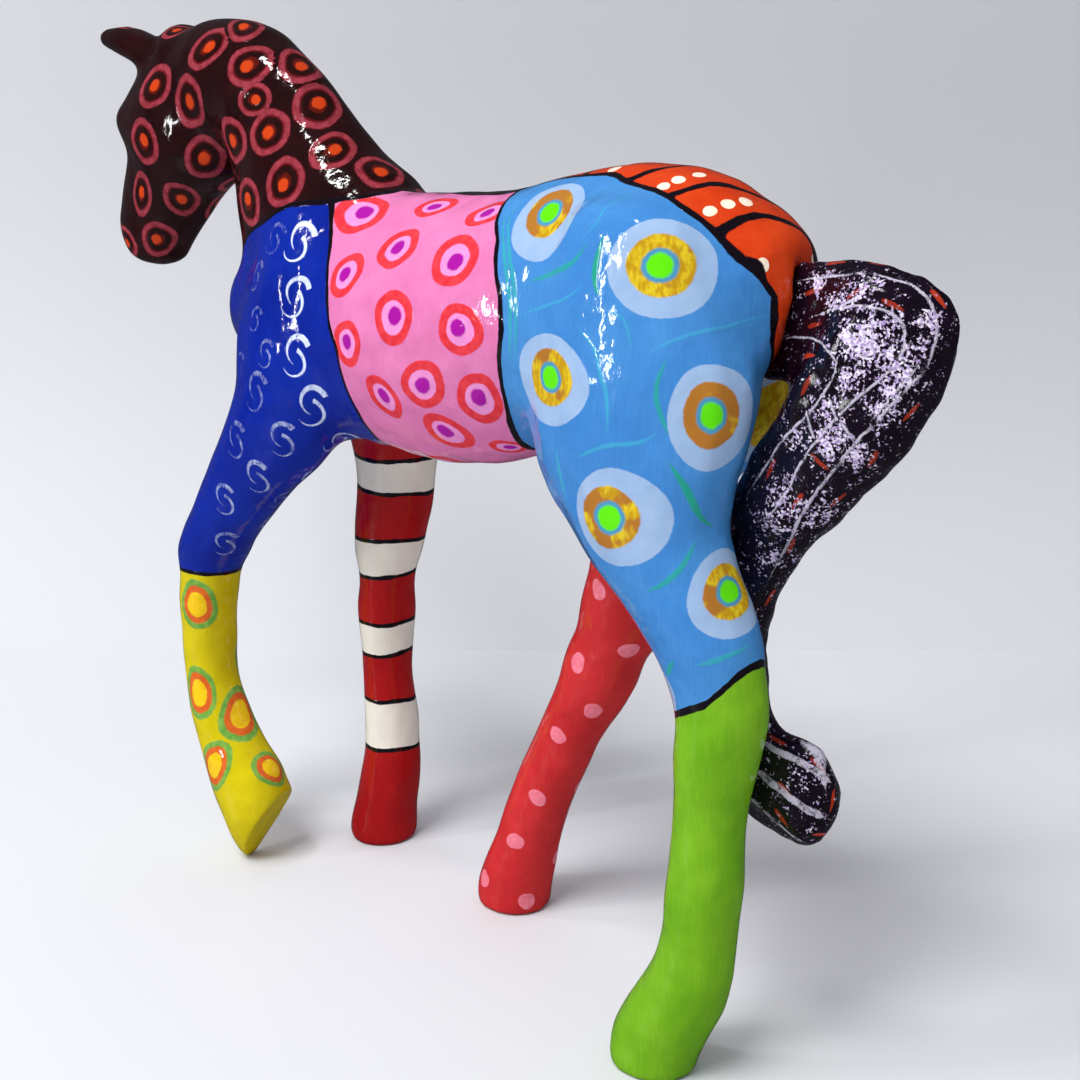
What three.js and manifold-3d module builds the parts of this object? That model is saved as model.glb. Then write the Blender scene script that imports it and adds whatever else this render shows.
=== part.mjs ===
// Painted paper foal, walking with its head low and its tail arched.
// The shell is a set of moulded paper pieces that seat in one another on a wire armature.
// Millimetres, +X towards the muzzle, +Y towards the foal's left side, +Z up, floor at Z = 0.
import * as THREE from "three";
import { mergeVertices } from "three/addons/utils/BufferGeometryUtils.js";
import Module from "manifold-3d";

const wasm = await Module();
wasm.setup();

// Trunk
const BACK_HEIGHT = 241; // floor to the low of the back, behind the neck
const CROUP_HEIGHT = 250; // floor to the highest point of the croup
const BELLY_HEIGHT = 159; // floor to the lowest point of the belly
const WITHERS_X = 13; // where the neck's crest meets the back
const CROUP_X = -80; // the highest point of the croup
const BREAST_REACH = 76; // withers to the foremost point of the breast
const DOCK_REACH = 47; // croup to the root of the tail
const DOCK_FALL = 23; // how much lower the tail's root lies
const BARREL_WIDTH = 65;
const BREAST_WIDTH = 48;
const CROUP_WIDTH = 56;

// Neck and head
const NECK_REACH = 107; // withers to poll, forwards
const NECK_RISE = 56; // withers to poll, upwards
const NECK_BREADTH = 52; // crest to throat at mid neck
const NECK_WIDTH = 36;
const HEAD_DROP = 85; // poll to the underside of the lips
const CHEEK_DEPTH = 60; // forehead to the angle of the jaw
const CHEEK_WIDTH = 38;
const MUZZLE_DEPTH = 33;
const MUZZLE_WIDTH = 25;
const EAR_LENGTH = 26;
const EAR_THICKNESS = 10;
const EAR_SPREAD = 17; // between the two ears' roots
const EAR_RIGHT_DROP = 3; // how much lower the right ear sits

// Legs
const CANNON_THICKNESS = 20;
const FETLOCK_THICKNESS = 22;
const HOOF_LENGTH = 26;
const HOOF_WIDTH = 25;
const KNEE_HEIGHT = 108;
const KNEE_THICKNESS = 25;
const FOREARM_THICKNESS = 31;
const HOCK_HEIGHT = 117;
const HOCK_THICKNESS = 29;
const HAUNCH_LENGTH = 70; // fore and aft
const HAUNCH_THICKNESS = 34; // across
const SHOULDER_LENGTH = 54;
const SHOULDER_THICKNESS = 30;
const HIND_TRACK = 39; // between the two hind hooves' middles
const FORE_TRACK = 45; // between the two fore hooves' middles
const HIND_LEFT_HOOF_X = -104; // the leg that is planted behind
const HIND_RIGHT_HOOF_X = -9; // the leg that has stepped under the belly
const FORE_RIGHT_HOOF_X = 66; // the standing fore leg
const FORE_LEFT_TOE_X = 89; // the lifted leg, which only tips the floor
const FORE_LEFT_KNEE_X = 108;

// Tail
const TAIL_BREADTH = 46; // at the top of the arch
const TAIL_THICKNESS = 24;
const TAIL_ROOT_THICKNESS = 12; // where the tail leaves the trunk
const TAIL_ARCH = 45; // how far the arch stands out behind the dock
const TAIL_TIP_HEIGHT = 121; // where the tail is narrowest
const TAIL_NARROW = 15; // breadth there
const TAIL_LEAN = 2; // how far the hanging end leans from the middle, away from the planted leg
const LOCK_DEPTH = 0.05; // relief of the combed locks, as a share of the section
const TAIL_LOCKS = 9;
const TUFT_LENGTH = 31;
const TUFT_BREADTH = 26;
const TUFT_THICKNESS = 18;
const TUFT_FLUTES = 7;
const TUFT_FLUTE_DEPTH = 0.1;

// Armature and fits
const WIRE_DIAMETER = 3;
const SPINE_WIRE_DIAMETER = 4;
const SOLE_COVER = 9; // paper left between a leg wire's end and the floor
const GAP = 0.3; // between pieces that seat in one another
const TOE_PRESS = 1.6; // how much of the lifted toe is flattened on the floor

const BODY_SIDES = 24;
const LIMB_SIDES = 14;
const RINGS_PER_SPAN = 2;
const DOME_RINGS = 3;
const WIRE_ARC_STEPS = 4; // each wire's section has twice as many sides

// Catmull-Rom value between b and c.
function between(a, b, c, d, t) {
  const slopeB = (c - a) / 2;
  const slopeC = (d - b) / 2;
  const bend = 3 * (c - b) - 2 * slopeB - slopeC;
  const twist = 2 * (b - c) + slopeB + slopeC;
  return b + t * (slopeB + t * (bend + t * twist));
}

// A section through a body: its long axis runs in the XZ plane from [x, z] to [x, z].
const slice = (from, to, width, y = 0) => [...from, ...to, width, y];

// A section across a limb, square to the limb's run from the station before to the one after.
function limbSlices(stations) {
  return stations.map(([x, y, z, thickness, width], i) => {
    const before = stations[Math.max(i - 1, 0)];
    const after = stations[Math.min(i + 1, stations.length - 1)];
    const run = new THREE.Vector2(after[0] - before[0], after[2] - before[2]).normalize();
    const half = thickness / 2;
    return slice([x - run.y * half, z + run.x * half], [x + run.y * half, z - run.x * half], width, y);
  });
}

// Carries an oval section through the slices and closes both ends, flat or with a dome.
// The section's edge swells and sinks `waves` times round it, which makes locks and flutes.
function loft(slices, options = {}) {
  const { grow = 0, startDome = 0, endDome = 0, waves = 0, relief = 0, sides = BODY_SIDES } = options;
  const fine = [];
  for (let i = 0; i < slices.length - 1; i++) {
    const near = [i - 1, i, i + 1, i + 2].map((k) => slices[THREE.MathUtils.clamp(k, 0, slices.length - 1)]);
    for (let j = 0; j < RINGS_PER_SPAN; j++) {
      fine.push(near[1].map((_, k) => between(...near.map((s) => s[k]), j / RINGS_PER_SPAN)));
    }
  }
  fine.push(slices.at(-1));

  const rings = fine.map(([ax, az, bx, bz, width, y]) => ({
    middle: new THREE.Vector3((ax + bx) / 2, y, (az + bz) / 2),
    long: new THREE.Vector3(bx - ax, 0, bz - az).multiplyScalar(0.5),
    half: width / 2,
    scale: 1,
  }));
  const cap = (end, next, dome) => {
    const out = end.middle.clone().sub(next.middle);
    const across = new THREE.Vector3(-end.long.z, 0, end.long.x).normalize();
    across.multiplyScalar(Math.sign(across.dot(out)));
    const ringAt = (rise, scale) => ({ ...end, middle: end.middle.clone().addScaledVector(across, rise), scale });
    const pole = ringAt(dome + grow, 0).middle;
    if (!dome) return { pole, rings: grow ? [ringAt(grow, 1)] : [] };
    const turns = Array.from({ length: DOME_RINGS - 1 }, (_, k) => ((k + 1) / DOME_RINGS) * (Math.PI / 2));
    return { pole, rings: turns.map((turn) => ringAt(Math.sin(turn) * (dome + grow), Math.cos(turn))) };
  };
  const first = cap(rings[0], rings[1], startDome);
  const last = cap(rings.at(-1), rings.at(-2), endDome);
  const all = [...first.rings.reverse(), ...rings, ...last.rings];

  const points = [];
  for (const { middle, long, half, scale } of all) {
    const reach = long.length();
    for (let k = 0; k < sides; k++) {
      const turn = (k / sides) * 2 * Math.PI;
      const swell = scale * (1 + relief * Math.cos(waves * turn));
      const alongShare = (Math.cos(turn) * (reach * swell + grow * scale)) / reach;
      const side = Math.sin(turn) * (half * swell + grow * scale);
      const point = middle.clone().addScaledVector(long, alongShare);
      points.push(point.x, point.y + side, point.z);
    }
  }
  const faces = [];
  for (let r = 0; r < all.length - 1; r++) {
    for (let k = 0; k < sides; k++) {
      const a = r * sides + k;
      const b = r * sides + ((k + 1) % sides);
      faces.push(a, b, b + sides, a, b + sides, a + sides);
    }
  }
  const firstPole = points.length / 3;
  points.push(...first.pole, ...last.pole);
  const lastRing = (all.length - 1) * sides;
  for (let k = 0; k < sides; k++) {
    const next = (k + 1) % sides;
    faces.push(firstPole, next, k, firstPole + 1, lastRing + k, lastRing + next);
  }
  return solidFrom(points, faces);
}

function solidFrom(points, faces) {
  const make = (list) =>
    new wasm.Manifold(
      new wasm.Mesh({
        numProp: 3,
        vertProperties: new Float32Array(points),
        triVerts: new Uint32Array(list),
      }),
    );
  const solid = make(faces);
  if (solid.volume() > 0) return solid;
  const turned = [];
  for (let i = 0; i < faces.length; i += 3) turned.push(faces[i], faces[i + 2], faces[i + 1]);
  return make(turned);
}

function solidOf(geometry) {
  const bare = geometry.clone();
  bare.deleteAttribute("normal");
  bare.deleteAttribute("uv");
  const merged = mergeVertices(bare, 1e-4);
  return solidFrom([...merged.attributes.position.array], [...merged.index.array]);
}

// A round rod along a smooth curve through points, each end longer by `extra`.
function rod(points, diameter, extra = 0) {
  const path = points.map((p) => new THREE.Vector3(...p));
  const stretch = (end, next) => end.add(end.clone().sub(next).setLength(extra));
  if (extra) {
    stretch(path[0], path[1]);
    stretch(path.at(-1), path.at(-2));
  }
  const section = new THREE.Shape().absarc(0, 0, diameter / 2, 0, 2 * Math.PI);
  return solidOf(
    new THREE.ExtrudeGeometry(section, {
      steps: (points.length - 1) * 2,
      curveSegments: WIRE_ARC_STEPS,
      extrudePath: new THREE.CatmullRomCurve3(path),
      bevelEnabled: false,
    }),
  );
}

// Everything on one side of a plane through a point, as a large block.
function halfSpace(point, normal) {
  const size = 900;
  const block = new THREE.BoxGeometry(size, size, size).translate(0, 0, size / 2);
  const turn = new THREE.Quaternion().setFromUnitVectors(
    new THREE.Vector3(0, 0, 1),
    new THREE.Vector3(...normal).normalize(),
  );
  block.applyQuaternion(turn).translate(...point);
  return solidOf(block);
}

const cut = (solid, ...tools) => tools.reduce((left, tool) => left.subtract(tool), solid);

// The main body of a cut piece, without the crumbs that a shallow cut can leave.
const main = (solid) => solid.decompose().reduce((a, b) => (b.volume() > a.volume() ? b : a));

const floor = halfSpace([0, 0, 0], [0, 0, 1]);

// Trunk: upright sections from the breast back to the buttocks.
const breastX = WITHERS_X + BREAST_REACH;
const dock = [CROUP_X - DOCK_REACH, CROUP_HEIGHT - DOCK_FALL];
const barrelDepth = BACK_HEIGHT - BELLY_HEIGHT;
const trunkSlices = [
  slice([breastX - 6, BELLY_HEIGHT + 20], [breastX - 8, BACK_HEIGHT - 15], BREAST_WIDTH),
  slice([breastX - 18, BELLY_HEIGHT + 9], [breastX - 25, BACK_HEIGHT - 5], BREAST_WIDTH + 6),
  slice([breastX - 45, BELLY_HEIGHT + 2], [WITHERS_X + 16, BACK_HEIGHT], BARREL_WIDTH - 6),
  slice([WITHERS_X - 5, BELLY_HEIGHT], [WITHERS_X - 13, BACK_HEIGHT], BARREL_WIDTH),
  slice([WITHERS_X - 35, BELLY_HEIGHT + 1], [WITHERS_X - 43, BACK_HEIGHT + 1], BARREL_WIDTH),
  slice([CROUP_X + 34, CROUP_HEIGHT - barrelDepth], [CROUP_X + 25, CROUP_HEIGHT - 3], BARREL_WIDTH - 4),
  slice([CROUP_X + 8, CROUP_HEIGHT - 70], [CROUP_X, CROUP_HEIGHT], CROUP_WIDTH),
  slice([CROUP_X - 16, CROUP_HEIGHT - 60], [CROUP_X - 25, CROUP_HEIGHT - 4], CROUP_WIDTH - 3),
  slice([dock[0] + 13, dock[1] - 30], [dock[0] + 4, dock[1] + 7], CROUP_WIDTH - 15),
];
const trunkForm = (grow = 0) => loft(trunkSlices, { grow, startDome: 12, endDome: 6 });

// Neck: sections from inside the breast up along the crest to the poll.
const poll = [WITHERS_X + NECK_REACH, BACK_HEIGHT + NECK_RISE];
const neckSlices = [
  slice([breastX - 20, BACK_HEIGHT - 46], [WITHERS_X + 8, BACK_HEIGHT - 22], NECK_WIDTH + 12),
  slice([breastX + 1, BACK_HEIGHT - 24], [WITHERS_X + 4, BACK_HEIGHT - 1], NECK_WIDTH + 17),
  slice([breastX + 8, BACK_HEIGHT - 5], [WITHERS_X + 23, BACK_HEIGHT + 12], NECK_WIDTH + 7),
  slice([poll[0] - 18, poll[1] - 47], [poll[0] - 64, poll[1] - 27], NECK_WIDTH),
  slice([poll[0] - 11, poll[1] - 40], [poll[0] - 45, poll[1] - 40 + 0.57 * NECK_BREADTH], NECK_WIDTH - 1),
  slice([poll[0] - 2, poll[1] - 40], [poll[0] - 22, poll[1]], NECK_WIDTH - 2),
  slice([poll[0] + 8, poll[1] - 40], [poll[0] + 4, poll[1] + 1], NECK_WIDTH - 4),
];
const neckForm = (grow = 0) => loft(neckSlices, { grow, startDome: 8, endDome: 3 });

// Head: sections from the poll down past the cheeks to the lips.
const chinHeight = poll[1] - HEAD_DROP;
const brow = [poll[0] + 50, poll[1] - 28];
const headSlices = [
  slice([poll[0] - 6, poll[1] - 26], [poll[0] + 20, poll[1]], CHEEK_WIDTH - 9),
  slice([poll[0] - 12, poll[1] - 40], [poll[0] + 37, poll[1] - 13], CHEEK_WIDTH - 2),
  slice([brow[0] - CHEEK_DEPTH, brow[1] - 22], brow, CHEEK_WIDTH),
  slice([poll[0] - 2, poll[1] - 55], [poll[0] + 48, poll[1] - 42], CHEEK_WIDTH - 4),
  slice([poll[0] + 9, chinHeight + 24], [poll[0] + 53, chinHeight + 32], MUZZLE_WIDTH + 5),
  slice([poll[0] + 20, chinHeight + 14], [poll[0] + 21 + 1.15 * MUZZLE_DEPTH, chinHeight + 19], MUZZLE_WIDTH),
  slice([poll[0] + 29, chinHeight + 6], [poll[0] + 23 + MUZZLE_DEPTH, chinHeight + 8], MUZZLE_WIDTH - 3),
];
const headForm = (grow = 0) => loft(headSlices, { grow, startDome: 8, endDome: 7 });

// Ears: blunt cones that point forwards and a little outwards from the top of the head.
function earForm(side, grow = 0) {
  const rootX = poll[0] + 30;
  const rootZ = poll[1] - 8 - (side < 0 ? EAR_RIGHT_DROP : 0);
  const y = (side * EAR_SPREAD) / 2;
  return loft(
    limbSlices([
      [rootX - 6, y * 0.9, rootZ - 3, EAR_THICKNESS + 5, EAR_THICKNESS + 3],
      [rootX + 3, y, rootZ + 1, EAR_THICKNESS + 3, EAR_THICKNESS + 2],
      [rootX + 0.55 * EAR_LENGTH, y + side, rootZ + 4, EAR_THICKNESS, EAR_THICKNESS],
      [rootX + 0.85 * EAR_LENGTH, y + side * 2, rootZ + 5, 0.7 * EAR_THICKNESS, 0.6 * EAR_THICKNESS],
    ]),
    { grow, endDome: 3, sides: LIMB_SIDES },
  );
}

// Legs: each is one run of sections from inside the trunk to the sole, [x, y, z, fore and aft, across].
const hindY = HIND_TRACK / 2;
const foreY = FORE_TRACK / 2;
const hip = CROUP_HEIGHT - 38;
const shoulder = BACK_HEIGHT - 42;
const hindSole = (x, y) => [
  [x + 1, y, 6, HOOF_LENGTH, HOOF_WIDTH],
  [x + 1, y, -4, HOOF_LENGTH, HOOF_WIDTH],
];
const legs = {
  hind_leg_left: {
    stations: [
      [CROUP_X - 12, hindY - 3, hip + 18, HAUNCH_LENGTH - 16, HAUNCH_THICKNESS - 6],
      [CROUP_X - 8, hindY - 3, hip, HAUNCH_LENGTH, HAUNCH_THICKNESS],
      [CROUP_X - 10, hindY - 2, hip - 24, HAUNCH_LENGTH + 4, HAUNCH_THICKNESS + 2],
      [CROUP_X - 15, hindY - 1, hip - 43, HAUNCH_LENGTH - 8, HAUNCH_THICKNESS],
      [CROUP_X - 23, hindY, HOCK_HEIGHT + 33, HOCK_THICKNESS + 11, HOCK_THICKNESS + 1],
      [HIND_LEFT_HOOF_X - 12, hindY, HOCK_HEIGHT + 15, HOCK_THICKNESS + 1, HOCK_THICKNESS - 3],
      [HIND_LEFT_HOOF_X - 18, hindY, HOCK_HEIGHT, HOCK_THICKNESS, HOCK_THICKNESS - 4],
      [HIND_LEFT_HOOF_X - 17, hindY, HOCK_HEIGHT - 18, CANNON_THICKNESS + 4, CANNON_THICKNESS + 2],
      [HIND_LEFT_HOOF_X - 16, hindY, HOCK_HEIGHT - 37, CANNON_THICKNESS, CANNON_THICKNESS],
      [HIND_LEFT_HOOF_X - 14, hindY, 46, FETLOCK_THICKNESS, FETLOCK_THICKNESS - 1],
      [HIND_LEFT_HOOF_X - 9, hindY, 27, FETLOCK_THICKNESS + 2, FETLOCK_THICKNESS],
      ...hindSole(HIND_LEFT_HOOF_X, hindY),
    ],
    joint: { at: [HIND_LEFT_HOOF_X - 18, 0, HOCK_HEIGHT - 2], lean: [0.55, 0, 1] },
  },
  hind_leg_right: {
    stations: [
      [CROUP_X - 4, 3 - hindY, hip + 18, HAUNCH_LENGTH - 18, HAUNCH_THICKNESS - 6],
      [CROUP_X + 1, 3 - hindY, hip, HAUNCH_LENGTH + 2, HAUNCH_THICKNESS],
      [CROUP_X + 5, 2 - hindY, hip - 24, HAUNCH_LENGTH + 3, HAUNCH_THICKNESS + 1],
      [CROUP_X + 12, 1 - hindY, hip - 46, HAUNCH_LENGTH - 16, HAUNCH_THICKNESS - 1],
      [CROUP_X + 15, -hindY, HOCK_HEIGHT + 26, HOCK_THICKNESS + 13, HOCK_THICKNESS + 1],
      [CROUP_X + 20, -hindY, HOCK_HEIGHT + 8, HOCK_THICKNESS + 3, HOCK_THICKNESS - 3],
      [HIND_RIGHT_HOOF_X - 42, -hindY, HOCK_HEIGHT - 12, HOCK_THICKNESS - 1, HOCK_THICKNESS - 4],
      [HIND_RIGHT_HOOF_X - 34, -hindY, HOCK_HEIGHT - 30, CANNON_THICKNESS + 3, CANNON_THICKNESS + 2],
      [HIND_RIGHT_HOOF_X - 25, -hindY, HOCK_HEIGHT - 46, CANNON_THICKNESS, CANNON_THICKNESS],
      [HIND_RIGHT_HOOF_X - 13, -hindY, 46, FETLOCK_THICKNESS - 1, FETLOCK_THICKNESS - 1],
      [HIND_RIGHT_HOOF_X - 5, -hindY, 26, FETLOCK_THICKNESS, FETLOCK_THICKNESS],
      ...hindSole(HIND_RIGHT_HOOF_X, -hindY),
    ],
    joint: { at: [HIND_RIGHT_HOOF_X - 42, 0, HOCK_HEIGHT - 12], lean: [-0.5, 0, 1] },
  },
  fore_leg_right: {
    stations: [
      [WITHERS_X + 38, 3 - foreY, shoulder + 12, SHOULDER_LENGTH - 16, SHOULDER_THICKNESS - 4],
      [WITHERS_X + 40, 3 - foreY, shoulder - 8, SHOULDER_LENGTH, SHOULDER_THICKNESS],
      [WITHERS_X + 40, 2 - foreY, shoulder - 30, SHOULDER_LENGTH - 7, SHOULDER_THICKNESS],
      [WITHERS_X + 41, -foreY, shoulder - 52, FOREARM_THICKNESS + 2, FOREARM_THICKNESS - 5],
      [FORE_RIGHT_HOOF_X - 11, -foreY, KNEE_HEIGHT + 24, FOREARM_THICKNESS - 1, FOREARM_THICKNESS - 6],
      [FORE_RIGHT_HOOF_X - 6, -foreY, KNEE_HEIGHT + 3, KNEE_THICKNESS, KNEE_THICKNESS - 1],
      [FORE_RIGHT_HOOF_X - 5, -foreY, KNEE_HEIGHT - 22, CANNON_THICKNESS, CANNON_THICKNESS],
      [FORE_RIGHT_HOOF_X - 6, -foreY, 54, CANNON_THICKNESS - 1, CANNON_THICKNESS - 1],
      [FORE_RIGHT_HOOF_X - 6, -foreY, 34, FETLOCK_THICKNESS, FETLOCK_THICKNESS],
      [FORE_RIGHT_HOOF_X - 2, -foreY, 15, HOOF_LENGTH - 3, HOOF_WIDTH - 2],
      [FORE_RIGHT_HOOF_X, -foreY, 4, HOOF_LENGTH, HOOF_WIDTH],
      [FORE_RIGHT_HOOF_X, -foreY, -4, HOOF_LENGTH, HOOF_WIDTH],
    ],
    joint: { at: [FORE_RIGHT_HOOF_X - 5, 0, KNEE_HEIGHT - 4], lean: [0, 0, 1] },
  },
  fore_leg_left: {
    stations: [
      [WITHERS_X + 34, foreY - 3, shoulder + 14, SHOULDER_LENGTH - 18, SHOULDER_THICKNESS - 4],
      [WITHERS_X + 38, foreY - 3, shoulder - 6, SHOULDER_LENGTH + 4, SHOULDER_THICKNESS],
      [WITHERS_X + 44, foreY - 2, shoulder - 28, SHOULDER_LENGTH - 6, SHOULDER_THICKNESS],
      [WITHERS_X + 57, foreY, shoulder - 45, FOREARM_THICKNESS + 4, FOREARM_THICKNESS - 4],
      [FORE_LEFT_KNEE_X - 18, foreY, KNEE_HEIGHT + 24, FOREARM_THICKNESS - 4, FOREARM_THICKNESS - 6],
      [FORE_LEFT_KNEE_X - 2, foreY, KNEE_HEIGHT + 1, KNEE_THICKNESS, KNEE_THICKNESS - 1],
      [FORE_LEFT_KNEE_X + 1, foreY, KNEE_HEIGHT - 23, CANNON_THICKNESS, CANNON_THICKNESS],
      [FORE_LEFT_KNEE_X, foreY, KNEE_HEIGHT - 44, CANNON_THICKNESS, CANNON_THICKNESS],
      [FORE_LEFT_TOE_X + 12, foreY, 46, FETLOCK_THICKNESS + 1, FETLOCK_THICKNESS],
      [FORE_LEFT_TOE_X, foreY, 29, HOOF_LENGTH + 5, HOOF_WIDTH],
      [FORE_LEFT_TOE_X - 5, foreY, 16, HOOF_LENGTH - 2, HOOF_WIDTH - 2],
      [FORE_LEFT_TOE_X - 3, foreY, 6, HOOF_LENGTH - 12, HOOF_WIDTH - 9],
      [FORE_LEFT_TOE_X - 2, foreY, 2 - TOE_PRESS, HOOF_LENGTH - 19, HOOF_WIDTH - 17],
    ],
    joint: { at: [FORE_LEFT_KNEE_X - 2, 0, KNEE_HEIGHT - 1], lean: [0, 0, 1] },
  },
};
for (const leg of Object.values(legs)) {
  leg.form = (grow = 0) => loft(limbSlices(leg.stations), { grow, startDome: 12, endDome: 2, sides: LIMB_SIDES });
}

// Tail: sections fan round the arch from the dock, then run down to the narrow end.
const archX = dock[0] - TAIL_ARCH;
const tailEnd = [dock[0] + 15, TAIL_TIP_HEIGHT];
const levelSlice = (z) =>
  slice([tailEnd[0] + TAIL_NARROW / 2, z], [tailEnd[0] - TAIL_NARROW / 2, z], TAIL_NARROW - 1, -TAIL_LEAN);
const tailSlices = [
  slice([dock[0] + 10, dock[1] - 32], [dock[0] + 5, dock[1] - 2], TAIL_ROOT_THICKNESS - 3),
  slice([dock[0], dock[1] - 32], [dock[0] - 15, dock[1]], TAIL_ROOT_THICKNESS),
  slice([archX + TAIL_BREADTH - 1, dock[1] - 37], [archX + 10, dock[1] - 3], TAIL_THICKNESS),
  slice([archX + TAIL_BREADTH + 5, dock[1] - 44], [archX, dock[1] - 15], TAIL_THICKNESS),
  slice([archX + TAIL_BREADTH + 10, dock[1] - 53], [archX + 5, dock[1] - 34], TAIL_THICKNESS - 1),
  slice([archX + TAIL_BREADTH + 17, dock[1] - 67], [archX + 18, dock[1] - 52], TAIL_THICKNESS - 4),
  slice([tailEnd[0] + 7, tailEnd[1] + 25], [tailEnd[0] - 24, tailEnd[1] + 35], TAIL_THICKNESS - 8, -TAIL_LEAN),
  slice([tailEnd[0] + 8, tailEnd[1] + 13], [tailEnd[0] - 12, tailEnd[1] + 18], TAIL_NARROW, -TAIL_LEAN),
  levelSlice(tailEnd[1]),
];
const tailForm = (grow = 0) => loft(tailSlices, { grow, waves: TAIL_LOCKS, relief: LOCK_DEPTH });

const tuftTop = tailEnd[1] - GAP;
const tuftSlices = [
  levelSlice(tuftTop),
  slice([tailEnd[0] + 5, tuftTop - 18], [tailEnd[0] - 10, tuftTop - 15], TAIL_NARROW, -TAIL_LEAN),
  slice([tailEnd[0] + 2, tuftTop - 36], [tailEnd[0] - 16, tuftTop - 20], TUFT_THICKNESS - 2, -TAIL_LEAN),
  slice([tailEnd[0] + 6 - TUFT_LENGTH / 2, tuftTop - 47], [tailEnd[0] - 26, tuftTop - 22], TUFT_THICKNESS, -TAIL_LEAN),
  slice(
    [tailEnd[0] + 6 - TUFT_LENGTH, tuftTop - 23 - TUFT_BREADTH],
    [tailEnd[0] + 1 - TUFT_LENGTH, tuftTop - 28],
    TUFT_THICKNESS,
    -TAIL_LEAN,
  ),
];
const tuftForm = () => loft(tuftSlices, { endDome: 5, waves: TUFT_FLUTES, relief: TUFT_FLUTE_DEPTH });

// Armature: one wire along the spine, one down each leg and one through the tail.
const spineZ = BELLY_HEIGHT + 0.63 * barrelDepth;
const spinePoints = [
  [poll[0] + 25, 0, poll[1] - 38],
  [poll[0] + 3, 0, poll[1] - 20],
  [poll[0] - 34, 0, poll[1] - 30],
  [WITHERS_X + 48, 0, BACK_HEIGHT - 14],
  [WITHERS_X, 0, spineZ],
  [CROUP_X + 10, 0, spineZ],
  [dock[0] + 22, 0, dock[1] - 14],
];
const tailPoints = [
  [dock[0] + 18, 0, dock[1] - 16],
  [dock[0] - 16, 0, dock[1] - 17],
  [archX + 18, 0, dock[1] - 36],
  [archX + 0.8 * TAIL_BREADTH, 0, dock[1] - 62],
  [tailEnd[0] - 6, -TAIL_LEAN, tailEnd[1] + 20],
  [tailEnd[0], -TAIL_LEAN, tailEnd[1]],
  [tailEnd[0] - 5, -TAIL_LEAN, tuftTop - 23],
  [tailEnd[0] + 10 - TUFT_LENGTH, -TAIL_LEAN, tuftTop - 36],
];
const legWirePoints = ({ stations }) =>
  stations.slice(1).filter(([, , z]) => z > SOLE_COVER).map(([x, y, z]) => [x, y, z]);

// The sockets that one piece leaves in the next.
const carve = { head: headForm(GAP), neck: neckForm(GAP), tail: tailForm(GAP) };
const wires = {
  spine_wire: { points: spinePoints, diameter: SPINE_WIRE_DIAMETER },
  tail_wire: { points: tailPoints, diameter: WIRE_DIAMETER },
};
for (const [name, leg] of Object.entries(legs)) {
  wires[`${name}_wire`] = { points: legWirePoints(leg), diameter: WIRE_DIAMETER };
}
for (const wire of Object.values(wires)) {
  wire.solid = rod(wire.points, wire.diameter);
  wire.bore = rod(wire.points, wire.diameter + 2 * GAP, GAP);
}
const bores = Object.values(wires).map((wire) => wire.bore);

const shells = {};
shells.trunk = cut(trunkForm(), carve.neck, carve.tail, ...Object.values(legs).map((leg) => leg.form(GAP)));
shells.neck = cut(neckForm(), carve.head);
shells.head = headForm();
for (const [name, side] of [["ear_left", 1], ["ear_right", -1]]) {
  shells[name] = earForm(side);
  shells.head = cut(shells.head, earForm(side, GAP));
}
for (const [name, leg] of Object.entries(legs)) {
  const side = Math.sign(leg.stations[0][1]);
  const ownSide = halfSpace([0, (side * GAP) / 2, 0], [0, side, 0]);
  const whole = cut(leg.form().intersect(floor).intersect(ownSide), carve.neck, carve.tail);
  const { at, lean } = leg.joint;
  const normal = new THREE.Vector3(...lean).normalize();
  const lift = new THREE.Vector3(...at).addScaledVector(normal, GAP);
  shells[`${name}_upper`] = whole.intersect(halfSpace(lift.toArray(), lean));
  shells[`${name}_lower`] = cut(whole, halfSpace(at, lean));
}
shells.tail = tailForm();
shells.tail_tuft = tuftForm();

// Paints, one for each shell, and the armature's wire.
const paint = (color, roughness = 0.25) => new THREE.MeshStandardMaterial({ color, roughness, metalness: 0 });
const maroon = paint(0x2a0d10);
const royalBlue = paint(0x0f2a9e);
const skyBlue = paint(0x4b93d8);
const night = paint(0x140a18);
const red = paint(0xa31015);
const coral = paint(0xd23636);
const paints = {
  trunk: paint(0xe884bd),
  neck: maroon,
  head: maroon,
  ear_left: maroon,
  ear_right: maroon,
  fore_leg_left_upper: royalBlue,
  fore_leg_left_lower: paint(0xdcc90f),
  fore_leg_right_upper: red,
  fore_leg_right_lower: red,
  hind_leg_left_upper: skyBlue,
  hind_leg_left_lower: paint(0x74b01c),
  hind_leg_right_upper: coral,
  hind_leg_right_lower: coral,
  tail: night,
  tail_tuft: night,
};
const steel = new THREE.MeshStandardMaterial({ color: 0x9a9c9e, roughness: 0.4, metalness: 1 });

function meshOf(name, solid, material) {
  const { vertProperties, triVerts } = solid.getMesh();
  const geometry = new THREE.BufferGeometry();
  geometry.setAttribute("position", new THREE.BufferAttribute(vertProperties, 3));
  geometry.setIndex(new THREE.BufferAttribute(triVerts, 1));
  geometry.computeVertexNormals();
  const mesh = new THREE.Mesh(geometry, material);
  mesh.name = name;
  return mesh;
}

const paperwork = new THREE.Group();
for (const [name, shell] of Object.entries(shells)) {
  paperwork.add(meshOf(name, main(cut(shell, ...bores)), paints[name]));
}
const armature = new THREE.Group();
for (const [name, wire] of Object.entries(wires)) armature.add(meshOf(name, wire.solid, steel));
const foal = new THREE.Group().add(paperwork, armature);

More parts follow.
